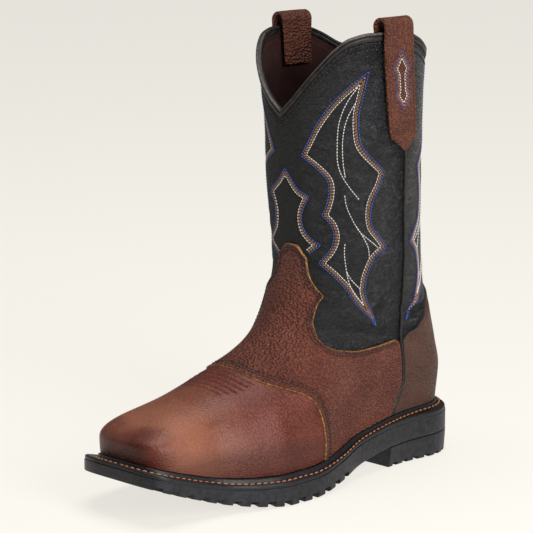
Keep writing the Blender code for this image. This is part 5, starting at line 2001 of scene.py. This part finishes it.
# %% Outsole, with notches round its edge and grooves across it
# each side: how far in from the outline, at which share of the height
OUTSOLE_SIDE = ((0.0012, 0.0), (0.0003, 0.06), (0.0, 0.14), (0.0, 0.60), (0.0, 0.85), (0.0, 1.0))
HEEL_SIDE = ((0.0024, 0.0), (0.0014, 0.03), (0.0010, 0.08), (0.0004, 0.5), (0.0, 0.8), (0.0, 1.0))
PLATE_SIDE = ((0.0, 0.0), (0.0, 0.12), (0.0, 0.90), (0.0, 1.0))
NOTCH = (NOTCH_WIDTH, NOTCH_HEIGHT, NOTCH_DEPTH)
GROOVE_HEIGHT = 0.0028

outsole_rings = sole_rings(underside, outsole_top, OUTSOLE_SIDE)
outsole = make_plate("lugged_outsole", outsole_rings, edge_rubber)
places = []
for side in (1, -1):
    places += edge_notches(
        SOLE_LENGTH * 0.44, SOLE_LENGTH * 0.985, side, NOTCH_PITCH, NOTCH, underside
    )
for share in (0.50, 0.555, 0.665, 0.72, 0.775, 0.83, 0.885):
    s = share * SOLE_LENGTH
    outer, inner = half_widths(s)
    width = outer + inner - 2 * (NOTCH_DEPTH + 0.007)
    z = float(underside(s)) + (GROOVE_HEIGHT - BEYOND) / 2
    slope = math.atan(float(underside(s + 0.003) - underside(s - 0.003)) / 0.006)
    box = (width, GROOVE, GROOVE_HEIGHT + BEYOND)
    places.append((((outer - inner) / 2, HEEL_LENGTH / 2 - s, z), box, 0.0, -slope))
cut_boxes(outsole, places)
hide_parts("outsole")

# %% Heel block and midsole
HEEL_NOTCH = (HEEL_NOTCH_WIDTH, HEEL_NOTCH_HEIGHT, NOTCH_DEPTH * 0.8)


def ground(s):
    return 0.0 * s


heel_rings = sole_rings(ground, underside, HEEL_SIDE, HEEL_LENGTH, 90)
heel = make_plate("heel_stack", heel_rings, edge_rubber)
places = []
for side in (1, -1):
    places += edge_notches(
        HEEL_LENGTH * 0.22, HEEL_LENGTH * 0.93, side, HEEL_NOTCH_PITCH, HEEL_NOTCH, ground,
        thins=False,
    )
cut_boxes(heel, places)
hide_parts("heel_block")
midsole_rings = sole_rings(outsole_top, midsole_top, PLATE_SIDE)
midsole = make_plate("midsole_layer", midsole_rings, edge_rubber)
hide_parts("midsole")

# %% Cover the insole with the lining's textile
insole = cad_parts["insole"]
for pocket in insole.material_slots:
    pocket.material = lining_textile
print("insole covered")

# %% [markdown]
# ## Floor, air and lamps
# The photograph is a studio shot on pale paper, with large soft lamps. One big lamp hangs
# overhead, one stands at the left and one at the right to draw the shaft's edges.

# %% Floor and soft lamps
PAPER = (0.20, 0.195, 0.182)
PAPER_GLOW = 0.745  # the paper glows, as on a lit table, so the boot's shadow stays soft
FLOOR_HALF = 6.0


def pale_floor():
    """A wide sheet of pale paper under the boot."""
    finish, tree, shader = start_finish("paper", 0.9)
    shader.inputs["Base Color"].default_value = (*PAPER, 1)
    shader.inputs["Emission Color"].default_value = (1.0, 0.97, 0.90, 1)
    shader.inputs["Emission Strength"].default_value = PAPER_GLOW
    shader.inputs["Specular IOR Level"].default_value = 0.1
    mesh = bpy.data.meshes.new("floor")
    corners = [(x * FLOOR_HALF, y * FLOOR_HALF, 0) for x, y in ((-1, -1), (1, -1), (1, 1), (-1, 1))]
    mesh.from_pydata(corners, [], [(0, 1, 2, 3)])
    mesh.materials.append(finish)
    floor = bpy.data.objects.new("floor", mesh)
    bpy.context.scene.collection.objects.link(floor)


def soft_lamp(name, place, size, power, aim=(0.0, -0.10, 0.14)):
    """A rectangular lamp aimed at the boot's middle."""
    data = bpy.data.lights.new(name, "AREA")
    data.shape = "RECTANGLE"
    data.size, data.size_y = size
    data.energy = power
    lamp = bpy.data.objects.new(name, data)
    lamp.location = place
    way = np.array(aim) - np.array(place)
    lamp.rotation_euler = Vector(way.tolist()).to_track_quat("-Z", "Y").to_euler()
    bpy.context.scene.collection.objects.link(lamp)
    return lamp


pale_floor()
air = bpy.data.worlds.new("air")
air.use_nodes = True
background = air.node_tree.nodes["Background"]
background.inputs["Color"].default_value = (1.0, 0.985, 0.955, 1)
background.inputs["Strength"].default_value = 0.12
bpy.context.scene.world = air
bpy.context.scene.view_settings.view_transform = "Standard"
soft_lamp("lamp_above", (0.05, -0.10, 2.2), (1.5, 1.4), 36)
soft_lamp("lamp_left", (-1.00, -0.55, 0.60), (0.4, 0.9), 1.2)
soft_lamp("lamp_right", (1.20, -0.32, 0.52), (0.6, 0.95), 19)
print("floor, air and three lamps ready")
